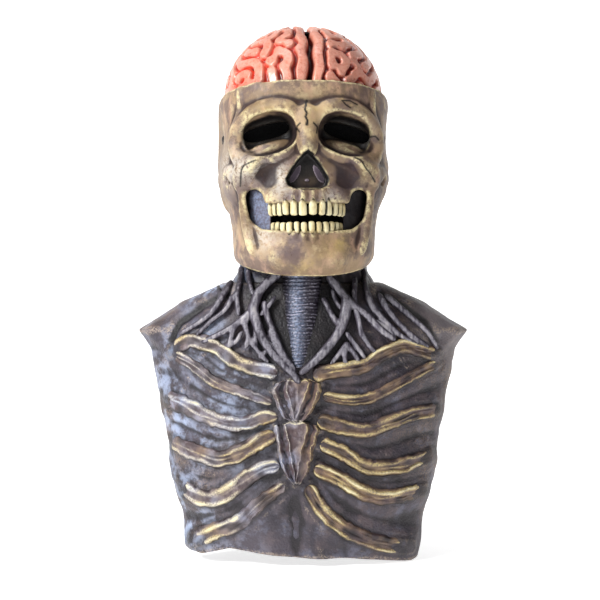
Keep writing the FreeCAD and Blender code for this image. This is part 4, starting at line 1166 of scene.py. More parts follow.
def slab(top, under, keep=None):
    """A closed skin between two grids of points (rows, columns, 3), without the cells that keep rules out."""
    m, n = top.shape[:2]
    keep = np.ones((m - 1, n - 1), dtype=bool) if keep is None else keep
    index = np.arange(m * n).reshape(m, n)
    a, b, c, d = index[:-1, :-1], index[1:, :-1], index[1:, 1:], index[:-1, 1:]
    cells = np.stack([a, b, c, d], axis=-1)[keep]
    around = np.pad(keep, 1)
    faces = [cells, cells[:, ::-1] + m * n]
    for di, dj, p, q in ((0, -1, a, b), (1, 0, b, c), (0, 1, c, d), (-1, 0, d, a)):
        rim = keep & ~around[1 + di:m + di, 1 + dj:n + dj]
        faces.append(np.stack([q[rim], p[rim], p[rim] + m * n, q[rim] + m * n], axis=1))
    points, faces = np.vstack([top.reshape(-1, 3), under.reshape(-1, 3)]), np.vstack(faces)
    outward = (normals_of(points, faces)[:m * n] * (points[:m * n] - points[m * n:])).sum()
    if outward < 0:
        faces = faces[:, ::-1]
    return submesh(points, faces, np.ones(len(faces), dtype=bool), [])[:2]


def grid_normals(grid):
    """Unit normals of a grid of points, turned away from the bust's middle."""
    normal = np.cross(np.gradient(grid, axis=0), np.gradient(grid, axis=1))
    normal /= np.maximum(np.linalg.norm(normal, axis=-1), 1e-9)[..., None]
    outward = (normal * (grid - grid.mean(axis=(0, 1)) * np.array([0, 0, 1]))).sum(axis=-1)
    return normal * np.where(outward.sum() < 0, -1, 1)


def bone_lines():
    """Each bone's middle line, and its half height along it."""
    lines = {}
    for name, (points, first, last) in BONES.items():
        line = curve([(x, 0, z) for x, z in points], 1.2)
        lines[name] = (line, np.linspace(first, last, len(line)))
    return lines


def near_bones(x, z):
    """Distance from (x, z) to the nearest bone's or plate's edge, negative on it."""
    flat = np.stack([x.ravel(), z.ravel()], axis=1)
    best = np.full(len(flat), 90.0)
    for line, half in bone_lines().values():
        for k in range(0, len(line) - 1, 3):
            gap = np.hypot(flat[:, 0] - line[k, 0], flat[:, 1] - line[k, 2]) - half[k]
            best = np.minimum(best, gap)
    for rows in PLATES.values():
        for height, left, right in rows:
            aside = np.maximum(np.maximum(left - flat[:, 0], flat[:, 0] - right), 0)
            best = np.minimum(best, np.hypot(aside, flat[:, 1] - height) - 3)
    return best.reshape(x.shape)


def chest_lift(x, z):
    """How far the chest skin is sculpted out of its plain form."""
    places = np.stack([x, 0 * x, z], axis=-1)
    gap = near_bones(x, z)
    lift = 2.6 * np.exp(-(np.maximum(gap, 0) / 7.0) ** 2) - 1.0 * np.exp(-((gap - 3.0) / 2.2) ** 2)
    lift += -1.6 * step(8, 20, gap) * step(-345, -360, z)
    lift += 1.3 * fractal(places, 34, 41, 3) + 0.45 * fractal(places, 7, 43, 3, 0.6)
    # long soft drapes between the ribs, steeper towards the hem
    lift += 1.0 * noise(np.stack([x * 0.35, 0 * x, z], axis=-1), 11, 47) * step(-345, -370, z)
    # the belly's soft columns and grooves below the breastbone
    belly = step(-480, -520, z)
    for centre, wide, high in ((18, 14, 3.0), (-42, 17, 2.4), (-8, 9, -2.4), (48, 12, -1.6)):
        lift += belly * high * np.exp(-((x - centre) / wide) ** 2)
    # the raised band along the shoulder, and the deep fold under it
    for side in (-1, 1):
        band = [(side * 82, -271), (side * 112, -290), (side * 140, -306), (side * 168, -324)]
        fold = [(side * 84, -284), (side * 110, -298), (side * 134, -316), (side * 142, -334)]
        flat = np.stack([x.ravel(), z.ravel()], axis=1)
        lift += 2.4 * np.exp(-(line_distance(flat, np.array(band, float)) / 8) ** 2).reshape(x.shape)
        lift -= 4.0 * np.exp(-(line_distance(flat, np.array(fold, float)) / 4.5) ** 2).reshape(x.shape)
        edge = np.array([(side * 168, -326), (side * 150, -345), (side * 142, -352)], float)
        lift += 1.5 * np.exp(-(line_distance(flat, edge) / 5) ** 2).reshape(x.shape)
    for start, end, deep in (((-105, -347), (-113, -358), 1.6), ((-124, -376), (-131, -390), 1.6),
                             ((104, -352), (111, -362), 1.4), ((-134, -475), (-96, -479), 0.8)):
        flat = np.stack([x.ravel(), z.ravel()], axis=1)
        near = line_distance(flat, np.array([start, end], float)).reshape(x.shape)
        lift += deep * (np.exp(-(near / 2.4) ** 2) - 0.9 * np.exp(-(near / 0.9) ** 2))
    return lift


def back_lift(x, z):
    """Shoulder blades, spine knobs and the backs of the ribs, pressed up through the back skin."""
    places = np.stack([x, 0 * x, z], axis=-1)
    lift = 1.2 * fractal(places, 30, 61, 3) + 0.4 * fractal(places, 7, 63, 3, 0.6)
    flat = np.stack([x.ravel(), z.ravel()], axis=1)
    for side in (-1, 1):
        blade = [(side * 46, -345), (side * 52, -420), (side * 96, -385), (side * 122, -338),
                 (side * 46, -345)]
        near = line_distance(flat, np.array(blade, float)).reshape(x.shape)
        lift += 4.0 * np.exp(-(near / 4.2) ** 2)
        spine_line = [(side * 44, -352), (side * 84, -348), (side * 128, -330), (side * 150, -322)]
        near = line_distance(flat, np.array(spine_line, float)).reshape(x.shape)
        lift += 4.5 * np.exp(-(near / 5.0) ** 2)
        for k in range(6):
            rib = curve([(side * 14, 0, -395 - 24 * k), (side * 60, 0, -398 - 25 * k),
                         (side * 132, 0, -424 - 21 * k)], 6)
            near = line_distance(flat, rib[:, [0, 2]]).reshape(x.shape)
            clear = 1 - step(-430, -410, z) * (np.abs(x) < 100)
            lift += 3.4 * (np.exp(-(near / 5.0) ** 2) - 0.35 * np.exp(-(near / 1.8) ** 2)) * clear
    for k in range(13):
        near = np.hypot(x / 1.3, z + 290 + 20 * k)
        lift += 4.0 * np.exp(-(near / 6.5) ** 2) * (np.abs(x) > 1.4 if -290 - 20 * k > SLIT_FOOT_Z else 1)
    return lift


def build_bib(side, name, node, paint):
    """The chest (side -1) or back (side 1) of the bib: a lifted skin over the bust's plain form."""
    rows, columns = ((196, 222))
    u = np.linspace(-1, 1, columns)
    if side > 0:
        u = np.sort(np.append(u, 0.004))
    v = np.linspace(0, 1, rows)[:, None]
    spread_x = np.sin(u * math.pi / 2)[None, :]
    hem = np.full((1, len(u)), BACK_HEM_Z if side > 0 else -565.0)
    for _ in range(4):
        z = NECK_FOOT_Z + (hem - NECK_FOOT_Z) * v
        x = bust_at(z)[0] * spread_x
        if side < 0:
            hem = np.interp(x[-1:], *zip(*HEM))
        else:
            hem = BACK_HEM_Z + 4 * noise(np.stack([x[-1:], 0 * x[-1:], 0 * x[-1:]], axis=-1), 30, 3)
    if side > 0:
        middle = np.argsort(np.abs(u))[:2]
        x[:, middle.min()], x[:, middle.max()] = -SLIT_HALF, SLIT_HALF
    y = bust_y(x, z, side)
    half = bust_at(z)[0]
    plain = np.stack([x, y, z + 0 * x], axis=-1)
    out = grid_normals(plain)
    out = out * np.where((out[..., 1] * side).sum() < 0, -1, 1)
    lift = chest_lift(x, z + 0 * x) if side < 0 else back_lift(x, z + 0 * x)
    rim = 1 - step(0.90, 1.0, np.abs(x / half))
    lift = lift * np.clip(rim + 0.25, 0, 1) * (0.25 + 0.75 * step(-270, -282, z))
    ragged = 1 + 0.6 * noise(plain, 9, 71)
    top = plain + out * lift[..., None]
    top[..., 0] += step(0.8, 1.0, np.abs(x / half)) * ragged * np.sign(x) * 1.2
    sway = 3.0 * noise(np.stack([0 * x, 0 * x, z + 0 * x], axis=-1), 26, 4)
    sway = sway * step(0.5, 1.0, np.abs(x / half)) * np.sign(x)
    top[..., 0] += sway
    plain[..., 0] += sway
    if side < 0:
        # the lower corners curl
        for sign, reach in ((-1, 26), (1, 30)):
            corner = np.exp(-((x - sign * 124) / reach) ** 2 - ((z + 566) / 20) ** 2)
            top[..., 1] -= 5.0 * corner
            plain[..., 1] -= 5.0 * corner
    under = plain - out * WALL
    keep = np.ones((rows - 1, len(u) - 1), dtype=bool)
    if side > 0:
        keep[:, middle.min()] = z[:-1, middle.min()] < SLIT_FOOT_Z
    points, faces = slab(top, under, keep)
    x, y, z = points.T
    flat = points[:, [0, 2]]
    # painted shade: a dark V at the throat under the neck, the fold under each shoulder band, and the skin
    # along the bones' edges
    throat = step(84, 54, np.abs(x) + 0.25 * (-272 - z)) * step(-376, -352, z + 0.1 * np.abs(x)) * (side < 0)
    folds = [[(way * 84, -284), (way * 110, -298), (way * 134, -316), (way * 142, -334)] for way in (-1, 1)]
    fold = [step(5.5, 1.5, line_distance(flat, np.array(line, float))) for line in folds]
    fold = np.maximum(*fold) * (side < 0)
    gap = near_bones(x, z) if side < 0 else np.full(len(x), 50.0)
    shadow = step(7.0, 0.5, gap) * (0.55 + 0.45 * noise(points, 9, 15)) * (side < 0)
    ink_and_shade = np.clip(np.maximum.reduce([throat * 0.86, fold * 0.85, shadow * 0.8]), 0, 1)
    dusty = np.clip(step(95, 150, x) * step(-385, -330, z) * (0.7 + 0.5 * fractal(points, 24, 8, 3)), 0, 1)
    dress(name, points, faces, paint, node, extra={"ink_and_shade": ink_and_shade, "pale": dusty}, hollows=0.75)


def dress(name, points, faces, paint, node, extra=None, gain=1.0, hollows=0.4):
    """Makes a bust piece, its dry brushing and its hollows darkened by a dark wash and painted shade from the
    shape, and its painted light from the left and right.
    """
    small, large = relief(points, faces, 10), relief(points, faces, 90)
    x, y = points[:, 0], points[:, 1]
    layers = {"ridge": np.clip(small * gain, 0, 2), "hollow": np.clip(-large * hollows * gain, 0, 1),
              "ink_and_shade": np.zeros(len(points)),
              # painted light: bluish on the left side, weaker on the back, and ochre on both flanks
              "cool": np.clip(step(-5, -110, x) * step(-0.5, 0.3, fractal(points, 40, 5, 3)), 0, 1)
              * (1 - 0.7 * step(0, 40, y)),
              "warm": step(40, 170, np.abs(x)) * step(-0.2, 0.6, fractal(points, 30, 8, 3)) * 0.6}
    layers.update(extra or {})
    make(name, points, faces, layers, normals_of(points, faces), paint, "mask", (node,))


def build_bone(name, paint, seed):
    """A rib or collarbone: two ragged ridges, a fluted middle, and an outer end that sinks into the skin."""
    line = curve([(x, 0, z) for x, z in BONES[name][0]], 0.9)
    across = 41
    tangent = np.gradient(line, axis=0)
    tangent /= np.linalg.norm(tangent, axis=1)[:, None]
    normal = np.stack([-tangent[:, 2], tangent[:, 0]], axis=1)
    along = np.concatenate([[0], np.cumsum(np.linalg.norm(np.diff(line, axis=0), axis=1))])
    total = along[-1]
    half = np.interp(along, [0, total], BONES[name][1:]) * 1.22 + 0.8
    outer_end = along if abs(line[0, 0]) > abs(line[-1, 0]) else total - along
    t = along[:, None]
    w = np.linspace(-1, 1, across)[None, :]
    tip = np.sqrt(np.clip(1 - (1 - np.minimum(along, total - along) / 7.0).clip(0, 1) ** 2, 0.02, 1))
    line_noise = noise(np.stack([along, 0 * along, 0 * along + seed * 9.7], axis=-1), 13, seed)
    edges = [noise(np.stack([along, 0 * along + 40 * k, 0 * along], axis=-1), 4.5, seed + k) for k in (0, 1)]
    ragged = np.where(w < 0, 1 + 0.13 * edges[0][:, None], 1 + 0.13 * edges[1][:, None])
    reach = half[:, None] * tip[:, None] * ragged * (1 + 0.08 * line_noise[:, None])
    x = line[:, 0, None] + normal[:, 0, None] * w * reach
    z = line[:, 2, None] + normal[:, 1, None] * w * reach
    # heights over the skin
    place = np.stack([t + 0 * w, 12 * w + 0 * t, 0 * t * w + seed * 5.0], axis=-1)
    upper = 0.56 + 0.24 * noise(np.stack([t + 0 * w, 0 * t * w, 0 * t * w], axis=-1), 16, seed + 3)
    lower = 0.60 + 0.24 * noise(np.stack([t + 0 * w, 0 * t * w, 0 * t * w], axis=-1), 14, seed + 4)
    high = np.stack([along, 0 * along, 0 * along + 5], axis=-1)
    strong = [np.clip(0.6 + 1.1 * noise(high, 22, seed + k), 0.0, 1.3) for k in (5, 6)]
    up = np.where(normal[:, 1] < 0, -1.0, 1.0)[:, None] * w
    body = 5.4 * np.clip(1 - np.abs(w) ** 3, 0, 1) ** 0.55 * (0.88 + 0.2 * up)
    thick = 0.22 + 0.10 * noise(np.stack([t + 0 * w, 0 * t * w, 0 * t * w + 30], axis=-1), 18, seed + 2)
    ridges = 2.9 * strong[0][:, None] * np.exp(-((w - upper) / thick) ** 2)
    ridges = ridges + 2.4 * strong[1][:, None] * np.exp(-((w + lower) / thick) ** 2)
    middle = 0.25 * noise(np.stack([t + 0 * w, 0 * t * w, 0 * t * w + 60], axis=-1), 22, seed + 11)
    third = np.clip(noise(np.stack([t + 0 * w, 0 * t * w, 0 * t * w + 90], axis=-1), 26, seed + 12), 0, 1)
    ridges = ridges + 1.9 * third * np.exp(-((w - middle) / 0.13) ** 2)
    light = np.clip(ridges / 2.3, 0, 1.2) * (0.75 + 0.4 * noise(place, 9, seed + 14))
    # painted shadow along the bone's lower edge, and a dark line along its upper edge
    dark = np.maximum(step(-0.62, -0.95, up) * 0.85, step(0.90, 1.0, up) * 0.7) * np.ones_like(light)
    flute = -1.3 * np.exp(-((w - middle) / 0.45) ** 2)
    flute = flute + 0.8 * noise(place * np.array([0.18, 1, 1]), 2.2, seed + 8)
    height = body + ridges + flute + 0.7 * fractal(place, 4.2, seed + 9, 3, 0.6)
    fade = 0.35 + 0.65 * step(0, 26, outer_end)
    height = height * tip[:, None] * fade[:, None]
    height = height * np.clip((1 - np.abs(w)) * 9, 0, 1) ** 0.5 - 2.0 * (np.abs(w) > 0.985)
    skin = bust_y(x, z)
    top = np.stack([x, skin - 1.6 - height, z], axis=-1)
    under = np.stack([x, skin + 1.5 + 0 * x, z], axis=-1)
    points, faces = slab(top, under)
    # painted light: the left bones bluish-light; the right ones keep their cream-yellow dry brushing
    yellow = np.full(len(points), step(-20, 60, line[:, 0].mean()))
    light = light * (0.35 + 0.65 * tip[:, None])
    shade = np.clip(0.55 - light, 0, 1) * (0.5 + 0.5 * noise(place, 8, seed + 15))
    light, shade, dark = (np.append(layer.ravel(), 0 * layer.ravel()) for layer in (light, shade, dark))
    dress("bone_" + name, points, faces, paint, name, gain=1.25,
          extra={"ridge": light, "hollow": shade, "ink_and_shade": dark,
                 "cool": (1 - yellow) * np.clip(0.35 + 0.8 * fractal(points, 24, 31, 2), 0, 1)})


def build_plate(name, paint, seed):
    """A breastbone plate: two hollowed leaves with curled ragged borders, and a fan-grooved wedge between."""
    rows, columns = ((100, 110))
    table = np.array(PLATES[name], dtype=float)[::-1]
    v = np.linspace(0, 1, rows)[:, None]
    z = table[-1, 0] + (table[0, 0] - table[-1, 0]) * v
    left, right = (np.interp(z, table[:, 0], table[:, k]) for k in (1, 2))
    jag = [noise(np.stack([z, 0 * z + 60 * k, 0 * z], axis=-1), 4.0, seed + k) * 1.2 for k in (0, 1)]
    left, right = left - 1.0 + jag[0], right + 1.0 + jag[1]
    u = np.linspace(-1, 1, columns)[None, :]
    x = (left + right) / 2 + (right - left) / 2 * u
    z = z + 0 * u + 2.4 * (1 - v) * (np.abs(u) ** 1.2 - np.abs(u) ** 4) * 2.0
    keel = 0.50 * (1 - v) ** 0.9 + 0.03
    place = np.stack([x, 0 * x, z], axis=-1)
    ends = np.minimum(v, 1 - v) * rows
    rim = 0.84 + 0.05 * noise(place, 5, seed + 2)
    border = np.exp(-((np.abs(u) - rim) / 0.10) ** 2) * 3.2 + np.exp(-((ends - 3) / 2.5) ** 2) * 1.2
    leaf = -3.0 * np.exp(-((np.abs(u) - (0.86 + keel) / 2) / (0.16 + 0.1 * v)) ** 2)
    ridge = 2.8 * np.exp(-((np.abs(u) - keel) / 0.08) ** 2) - 1.6 * np.exp(-(u / 0.2) ** 2) * v
    fan = np.arctan2(x - (left + right) / 2, (z - table[0, 0]) + 6)
    grooves = 0.45 * np.sin(fan * 26 + 3 * noise(place, 8, seed)) * step(0.95, 0.7, np.abs(u))
    height = 4.0 + border + leaf + ridge + grooves + 0.45 * fractal(place, 3.0, seed + 4, 3)
    height = height * np.clip((1 - np.abs(u)) * 12, 0, 1) ** 0.5 * np.clip(ends / 3, 0.05, 1) ** 0.5
    skin = bust_y(x, z)
    top = np.stack([x, skin - 1.2 - height, z], axis=-1)
    under = np.stack([x, skin + 1.5, z], axis=-1)
    points, faces = slab(top, under)
    # painted light: the plate's left part bluish-light
    dress("bone_" + name, points, faces, paint, name, gain=1.2,
          extra={"cool": step(10, -20, points[:, 0]) * np.clip(0.6 + fractal(points, 14, 3, 2), 0, 1)})


def build_trachea(paint):
    """The windpipe: fine uneven rings down a tapering tube."""
    rows, columns = ((320, 110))
    v = np.linspace(0, 1, rows)[:, None]
    angle = np.linspace(-1.75, 1.75, columns)[None, :]
    length = 117.0
    centre_x, centre_y, centre_z = -4.0 * v, -50 - 16.5 * v, -249 - 114 * v
    radius = 22.0 - 10.5 * v ** 2
    place = np.stack([12 * angle + 0 * v, 0 * v * angle, length * v + 0 * angle], axis=-1)
    phase = length * v / 3.8 + 0.55 * noise(place * np.array([0.8, 1, 0.35]), 9, 5) + 0.1 * noise(place, 3, 6)
    ring = np.abs(np.sin(math.pi * phase)) ** 0.75
    strength = 0.55 + 0.45 * noise(place * np.array([1, 1, 2.0]), 7, 7)
    height = 1.5 * (ring - 0.5) * strength + 0.4 * fractal(place, 2.4, 8, 2)
    height = height + 0.8 * np.exp(-((angle + 0.3) / 0.35) ** 2)
    r = radius + height
    x = centre_x + r * np.sin(angle)
    y = centre_y - 3 * v - r * np.cos(angle)
    z = centre_z + 0 * angle
    top = np.stack([x, y, z], axis=-1)
    inner = radius - 5
    under = np.stack([centre_x + inner * np.sin(angle), centre_y - 3 * v - inner * np.cos(angle), z], axis=-1)
    points, faces = slab(top, under)
    # painted highlight left of the middle; painted shade on the tube's sides and at its top under the jaw
    lit = np.exp(-((points[:, 0] + 7) / 7) ** 2)
    ink_and_shade = step(12, 20, np.abs(points[:, 0] + 1)) * 0.75 + step(-262, -250, points[:, 2]) * 0.6
    dress("windpipe", points, faces, paint, "trachea", gain=1.3,
          extra={"cool": lit, "ink_and_shade": ink_and_shade})


# Sinews of the throat, as (x, z) points with their radius at each end.
SINEWS = {
    "neck_tendon_left": [
        ([(-27, -263), (-36, -270), (-47, -282), (-51, -292), (-55, -305)], 3.4, 3.8),
        ([(-54, -300), (-48, -320), (-40, -337), (-30, -350), (-12, -368), (-5, -377)], 4.2, 2.4),
        ([(-41, -294), (-39, -306), (-30, -328), (-20, -350), (-9, -364)], 2.4, 1.8),
        ([(-36, -325), (-28, -340), (-16, -358)], 1.6, 1.4),
    ],
    "neck_tendon_right": [
        ([(29, -267), (37, -278), (46, -289), (56, -298), (69, -308), (82, -322), (97, -333)], 3.6, 2.2),
        ([(46, -292), (44, -310), (36, -328), (22, -345), (14, -354), (-2, -368)], 4.4, 2.4),
        ([(22, -290), (30, -306), (36, -316)], 2.2, 1.8),
        ([(34, -330), (24, -346), (8, -358)], 1.8, 1.4),
    ],
    "neck_strands_left": [
        ([(-54, -302), (-62, -309), (-73, -318), (-91, -328), (-108, -336)], 2.8, 1.6),
        ([(-55, -303), (-62, -316), (-58, -330), (-61, -341)], 2.4, 1.6),
        ([(-52, -303), (-46, -322), (-36, -338), (-24, -352)], 2.2, 1.6),
        ([(-69, -248), (-68, -264), (-71, -286), (-69, -306)], 2.4, 1.8),
        ([(-79, -272), (-88, -288), (-100, -306), (-120, -320), (-133, -327)], 2.6, 1.4),
        ([(-60, -256), (-58, -272), (-53, -286)], 2.0, 1.6),
        ([(-75, -286), (-84, -302), (-97, -312), (-114, -328)], 2.0, 1.4),
        ([(-50, -312), (-51, -326), (-50, -338)], 1.6, 1.2),
        ([(-44, -306), (-30, -288)], 1.8, 1.4), ([(-36, -342), (-46, -352)], 1.6, 1.2),
        ([(-56, -334), (-46, -348), (-38, -356)], 1.8, 1.4),
        ([(-73, -318), (-77, -332), (-80, -342)], 1.8, 1.4),
        ([(-66, -326), (-72, -336), (-84, -340)], 1.5, 1.2),
        ([(-88, -290), (-92, -280), (-95, -272)], 1.4, 1.0),
    ],
    "neck_strands_right": [
        ([(56, -300), (60, -316), (62, -330)], 2.4, 1.6),
        ([(21, -290), (28, -302), (35, -314)], 1.6, 1.2),
        ([(62, -326), (69, -338), (78, -348)], 2.0, 1.4),
        ([(46, -326), (55, -338), (66, -353)], 1.8, 1.4),
        ([(46, -338), (39, -347), (30, -358)], 2.0, 1.4),
        ([(46, -338), (44, -351), (46, -360)], 1.6, 1.2), ([(48, -340), (56, -351), (60, -359)], 1.6, 1.2),
        ([(70, -286), (74, -298), (90, -316), (106, -330), (126, -341)], 2.6, 1.5),
        ([(82, -286), (92, -303), (112, -325), (135, -341)], 2.6, 1.5),
        ([(90, -287), (114, -307), (135, -326), (146, -343)], 2.4, 1.6),
        ([(56, -268), (55, -286), (56, -296)], 2.2, 1.6), ([(67, -259), (68, -280), (72, -292)], 2.2, 1.6),
        ([(98, -333), (90, -322), (76, -312)], 1.5, 1.2), ([(40, -300), (34, -290), (31, -280)], 1.5, 1.2),
    ],
}


def build_sinews(name, paint):
    """A group of sinews as one clay, each running down the throat's skin."""
    voxel = 0.85
    points = np.array([p for line, _a, _b in SINEWS[name] for p in line])
    low, high = points.min(axis=0) - 10, points.max(axis=0) + 10
    clay = Clay((low[0], -100, low[1]), (high[0], -22, high[1]), voxel)
    for k, (line, first, last) in enumerate(SINEWS[name]):
        path = []
        for x, z in curve([(x, 0, z) for x, z in line], 6.0)[:, [0, 2]]:
            path.append((x, float(throat_y(x, z)) - 5.2 - 0.8 * (k < 2), z))
        clay.strand(path, [first * 1.15, (first + last) * 0.56, last * 1.15], soft=3.2, spacing=4.0)
    found, faces = clay.surface()
    found = spread(found, edges_of(faces), 1)
    normals = normals_of(found, faces)
    streaks = fractal(found * np.array([1.0, 1.0, 0.22]), 2.2, 19, 2)
    found = found + normals * (0.18 * streaks)[:, None]
    # painted light on the faces turned to the front, painted shade on the faces turned away
    light = np.clip(-0.15 + 0.75 * step(0.5, 1.0, -normals[:, 1]) + 0.9 * streaks, 0, 1.2)
    dress("sinews_" + name, found, faces, paint, name, gain=1.0,
          extra={"ridge": light * 0.5, "hollow": step(0.75, -0.1, -normals[:, 1]), "cool": 0.3 * light})


def build_neck(paint):
    """The neck skin, open at the front above the throat and slit up the back."""
    rows, columns = ((130, 300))
    angle = np.linspace(0.02, 2 * math.pi - 0.02, columns)[None, :]
    sin, cos = np.sin(angle), np.cos(angle)
    ahead = step(0.15, 0.45, -cos)
    head_edge, throat_edge = -174.0, -251.0
    top_z = head_edge + (throat_edge - head_edge) * ahead
    v = np.linspace(0, 1, rows)[:, None]
    z = top_z + (NECK_FOOT_Z - 2 - top_z) * v
    half, front, back = [np.interp(z, NECK_Z, line) for line in NECK_LINES]
    x = half * np.sign(sin) * np.abs(sin) ** (2 / 2.2)
    y = (front + back) / 2 + (back - front) / 2 * np.sign(cos) * np.abs(cos) ** (2 / 2.2)
    x = np.where((np.abs(x) < SLIT_HALF) & (cos > 0), SLIT_HALF * np.sign(sin), x)
    plain = np.stack([x, y, z], axis=-1)
    out = plain - np.array([0, 12, 0])
    out[..., 2] = 0
    out /= np.linalg.norm(out, axis=-1)[..., None]
    cords = noise(np.stack([angle * 24 + 0 * z, 0 * z, z * 0.16 + 0 * angle], axis=-1), 3.4, 9)
    cords = np.abs(cords) ** 0.8
    lift = 2.4 * (cords - 0.35) + 0.5 * fractal(plain, 6, 17, 3)
    lift = lift * step(-176, -186, z) * (0.3 + 0.7 * step(-270, -262, z))
    for k in range(5):
        knob = np.hypot(np.abs(x) / 1.6, z + 192 + 18 * k)
        lift = lift + 3.2 * np.exp(-(knob / 6) ** 2) * (cos > 0.6)
    top, under = plain + out * lift[..., None], plain - out * WALL
    points, faces = slab(top, under)
    dress("skin_neck", points, faces, paint, "neck_shell", gain=1.0,
          extra={"ink_and_shade": step(-40, -58, points[:, 1]) * 0.75})


def strap_grid(x0, x1, z0, z1, spacing):
    """A rounded rectangle as a grid (rows, columns), its corners eased in."""
    u = np.linspace(-1, 1, max(8, int((x1 - x0) / spacing)))[None, :]
    v = np.linspace(-1, 1, max(8, int((z1 - z0) / spacing)))[:, None]
    ease = 2.5
    x = (x0 + x1) / 2 + u * ((x1 - x0) / 2 - ease * np.abs(v) ** 14)
    z = (z0 + z1) / 2 + v * ((z1 - z0) / 2 - ease * np.abs(u) ** 14)
    return x, z + 0 * x, u + 0 * v, v + 0 * u


def build_closure(level, z, body, patch_paint, tab_paint):
    """A sewn anchor, a looped patch and the hook tab that peels off it, across the back slit."""
    tab_low, tab_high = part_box("closure_tab_" + level)
    spacing = 0.5
    front_y, back_y = tab_low[1] / MM, tab_high[1] / MM
    # anchor and patch lie on the skin
    for kind, node, x0, x1, finish, slot in (
            ("anchor", "tab_anchor_" + level, -34, -16, tab_paint, "webbing"),
            ("patch", "loop_patch_" + level, 4, 34, patch_paint, "loop_pile")):
        x, high, u, v = strap_grid(x0, x1, z - 9, z + 9, spacing)
        skin = bust_y(x, high, 1) if z < NECK_FOOT_Z else neck_y(x, high, 1)
        fuzz = 0.35 * noise(np.stack([x, 0 * x, high], axis=-1), 0.9, 5) if kind == "patch" else 0
        border = np.exp(-((np.maximum(np.abs(u), np.abs(v)) - 0.86) / 0.05) ** 2)
        dash = step(0.1, 0.5, np.sin((x + high) * 1.9)) * border * 0.5
        outer = front_y - 0.35 + fuzz * 0.6 - 0.5 * (np.maximum(np.abs(u), np.abs(v)) > 0.97) + dash * 0.5
        top = np.stack([x, outer + 0 * x, high], axis=-1)
        under = np.stack([x, np.minimum(skin - 2.0, outer - 1.5), high], axis=-1)
        points, faces = slab(top, under)
        make("closure_%s_%s" % (kind, level), points, faces, {}, normals_of(points, faces), finish, "mask",
             (node,))
    x, high, u, v = strap_grid(-15.3, 32, z - 9, z + 9, spacing)
    border = np.exp(-((np.maximum(np.abs(u), np.abs(v)) - 0.86) / 0.05) ** 2)
    dash = step(0.1, 0.5, np.sin((x + high) * 1.9)) * border
    edge = np.maximum(np.abs(u), np.abs(v)) > 0.97
    tape = 0.14 * np.sin(x * 4.2) * np.sin(high * 4.2)
    outer = back_y - 0.45 + tape + 0.45 * dash - 0.4 * edge - 0.3 * np.exp(-((x + 11) / 1.6) ** 2)
    top = np.stack([x, outer, high], axis=-1)
    under = np.stack([x, np.full_like(x, front_y + 0.15) + 0.3 * edge, high], axis=-1)
    points, faces = slab(top, under)
    make("closure_strap_" + level, points, faces, {}, normals_of(points, faces), tab_paint, body,
         ("closure_tab_" + level,))


# ---- screens, foam and small hardware ----------------------------------------------------------------
def build_screens(paint):
    """The mesh behind each eye slit, and behind the teeth."""
    for side, name in ((-1, "eye_screen_left"), (1, "eye_screen_right")):
        u, v = np.meshgrid(np.linspace(-1, 1, 70), np.linspace(-1, 1, 44))
        disc_u, disc_v = u * np.sqrt(1 - v * v / 2), v * np.sqrt(1 - u * u / 2)
        tilt = side * SOCKET_TILT
        a, b = disc_u * 28.6, disc_v * 14.6
        x = side * SOCKET_X + a * math.cos(tilt) + b * math.sin(tilt)
        z = SOCKET_Z + 4 + b * math.cos(tilt) - a * math.sin(tilt)
        y = -72.6 + 0.5 * (1 - disc_u ** 2 - disc_v ** 2) + 0.06 * np.sin(a * 3.5) * np.sin(b * 3.5)
        grid = np.stack([x, y, z], axis=-1)
        grid = turn(grid.reshape(-1, 3)).reshape(grid.shape)
        points, faces = slab(grid + np.array([0, -0.3, 0]), grid + np.array([0, 0.3, 0]))
        piece = make("mesh_" + name, points, faces, {}, None, paint, "mask", (name,))
    angle, height = np.meshgrid(np.linspace(-1.45, 1.45, 120), np.linspace(-225.5, -184.5, 60))
    x, y = 36.5 * np.sin(angle), ARCH_Y - 29.5 * np.cos(angle)
    y = y + 0.8 * np.sin(angle * 3) * np.sin((height + 205) * 0.12)
    grid = np.stack([x, y, height], axis=-1)
    grid = turn(grid.reshape(-1, 3)).reshape(grid.shape)
    inward = np.stack([-np.sin(angle), np.cos(angle), 0 * angle], axis=-1)
    points, faces = slab(grid, grid + inward * 0.6)
    piece = make("mesh_mouth_screen", points, faces, {}, None, paint, "mask", ("mouth_screen",))


def build_pad(node, body, paint):
    """A foam pad in its solid's place: the block softened, crowned and pocked."""
    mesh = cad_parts[node].data.copy()
    block = bpy.data.objects.new("foam_" + node, mesh)
    bpy.context.scene.collection.objects.link(block)
    shape = block.modifiers.new("even", "REMESH")
    shape.mode, shape.voxel_size, shape.use_smooth_shade = "VOXEL", 0.0016, True
    soft = block.modifiers.new("soft", "SMOOTH")
    soft.factor, soft.iterations = 0.5, 6
    bpy.context.view_layer.update()
    solid = bpy.data.meshes.new_from_object(block.evaluated_get(bpy.context.evaluated_depsgraph_get()))
    block.modifiers.clear()
    block.data = solid
    solid.materials.clear()
    solid.materials.append(paint)
    count = len(solid.vertices)
    points = np.empty(count * 3, dtype=np.float32)
    solid.vertices.foreach_get("co", points)
    normals = np.empty(count * 3, dtype=np.float32)
    solid.vertices.foreach_get("normal", normals)
    points, normals = points.reshape(-1, 3) / MM, normals.reshape(-1, 3)
    points = points + normals * (0.35 * fractal(points, 3.0, 77, 3))[:, None]
    solid.vertices.foreach_set("co", (points * MM).astype(np.float32).ravel())
    solid.update()
    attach(block, body)
    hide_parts(node)


def paint_node(node, material):
    """A carried-over CAD node with a better finish."""
    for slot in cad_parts[node].material_slots:
        slot.material = material


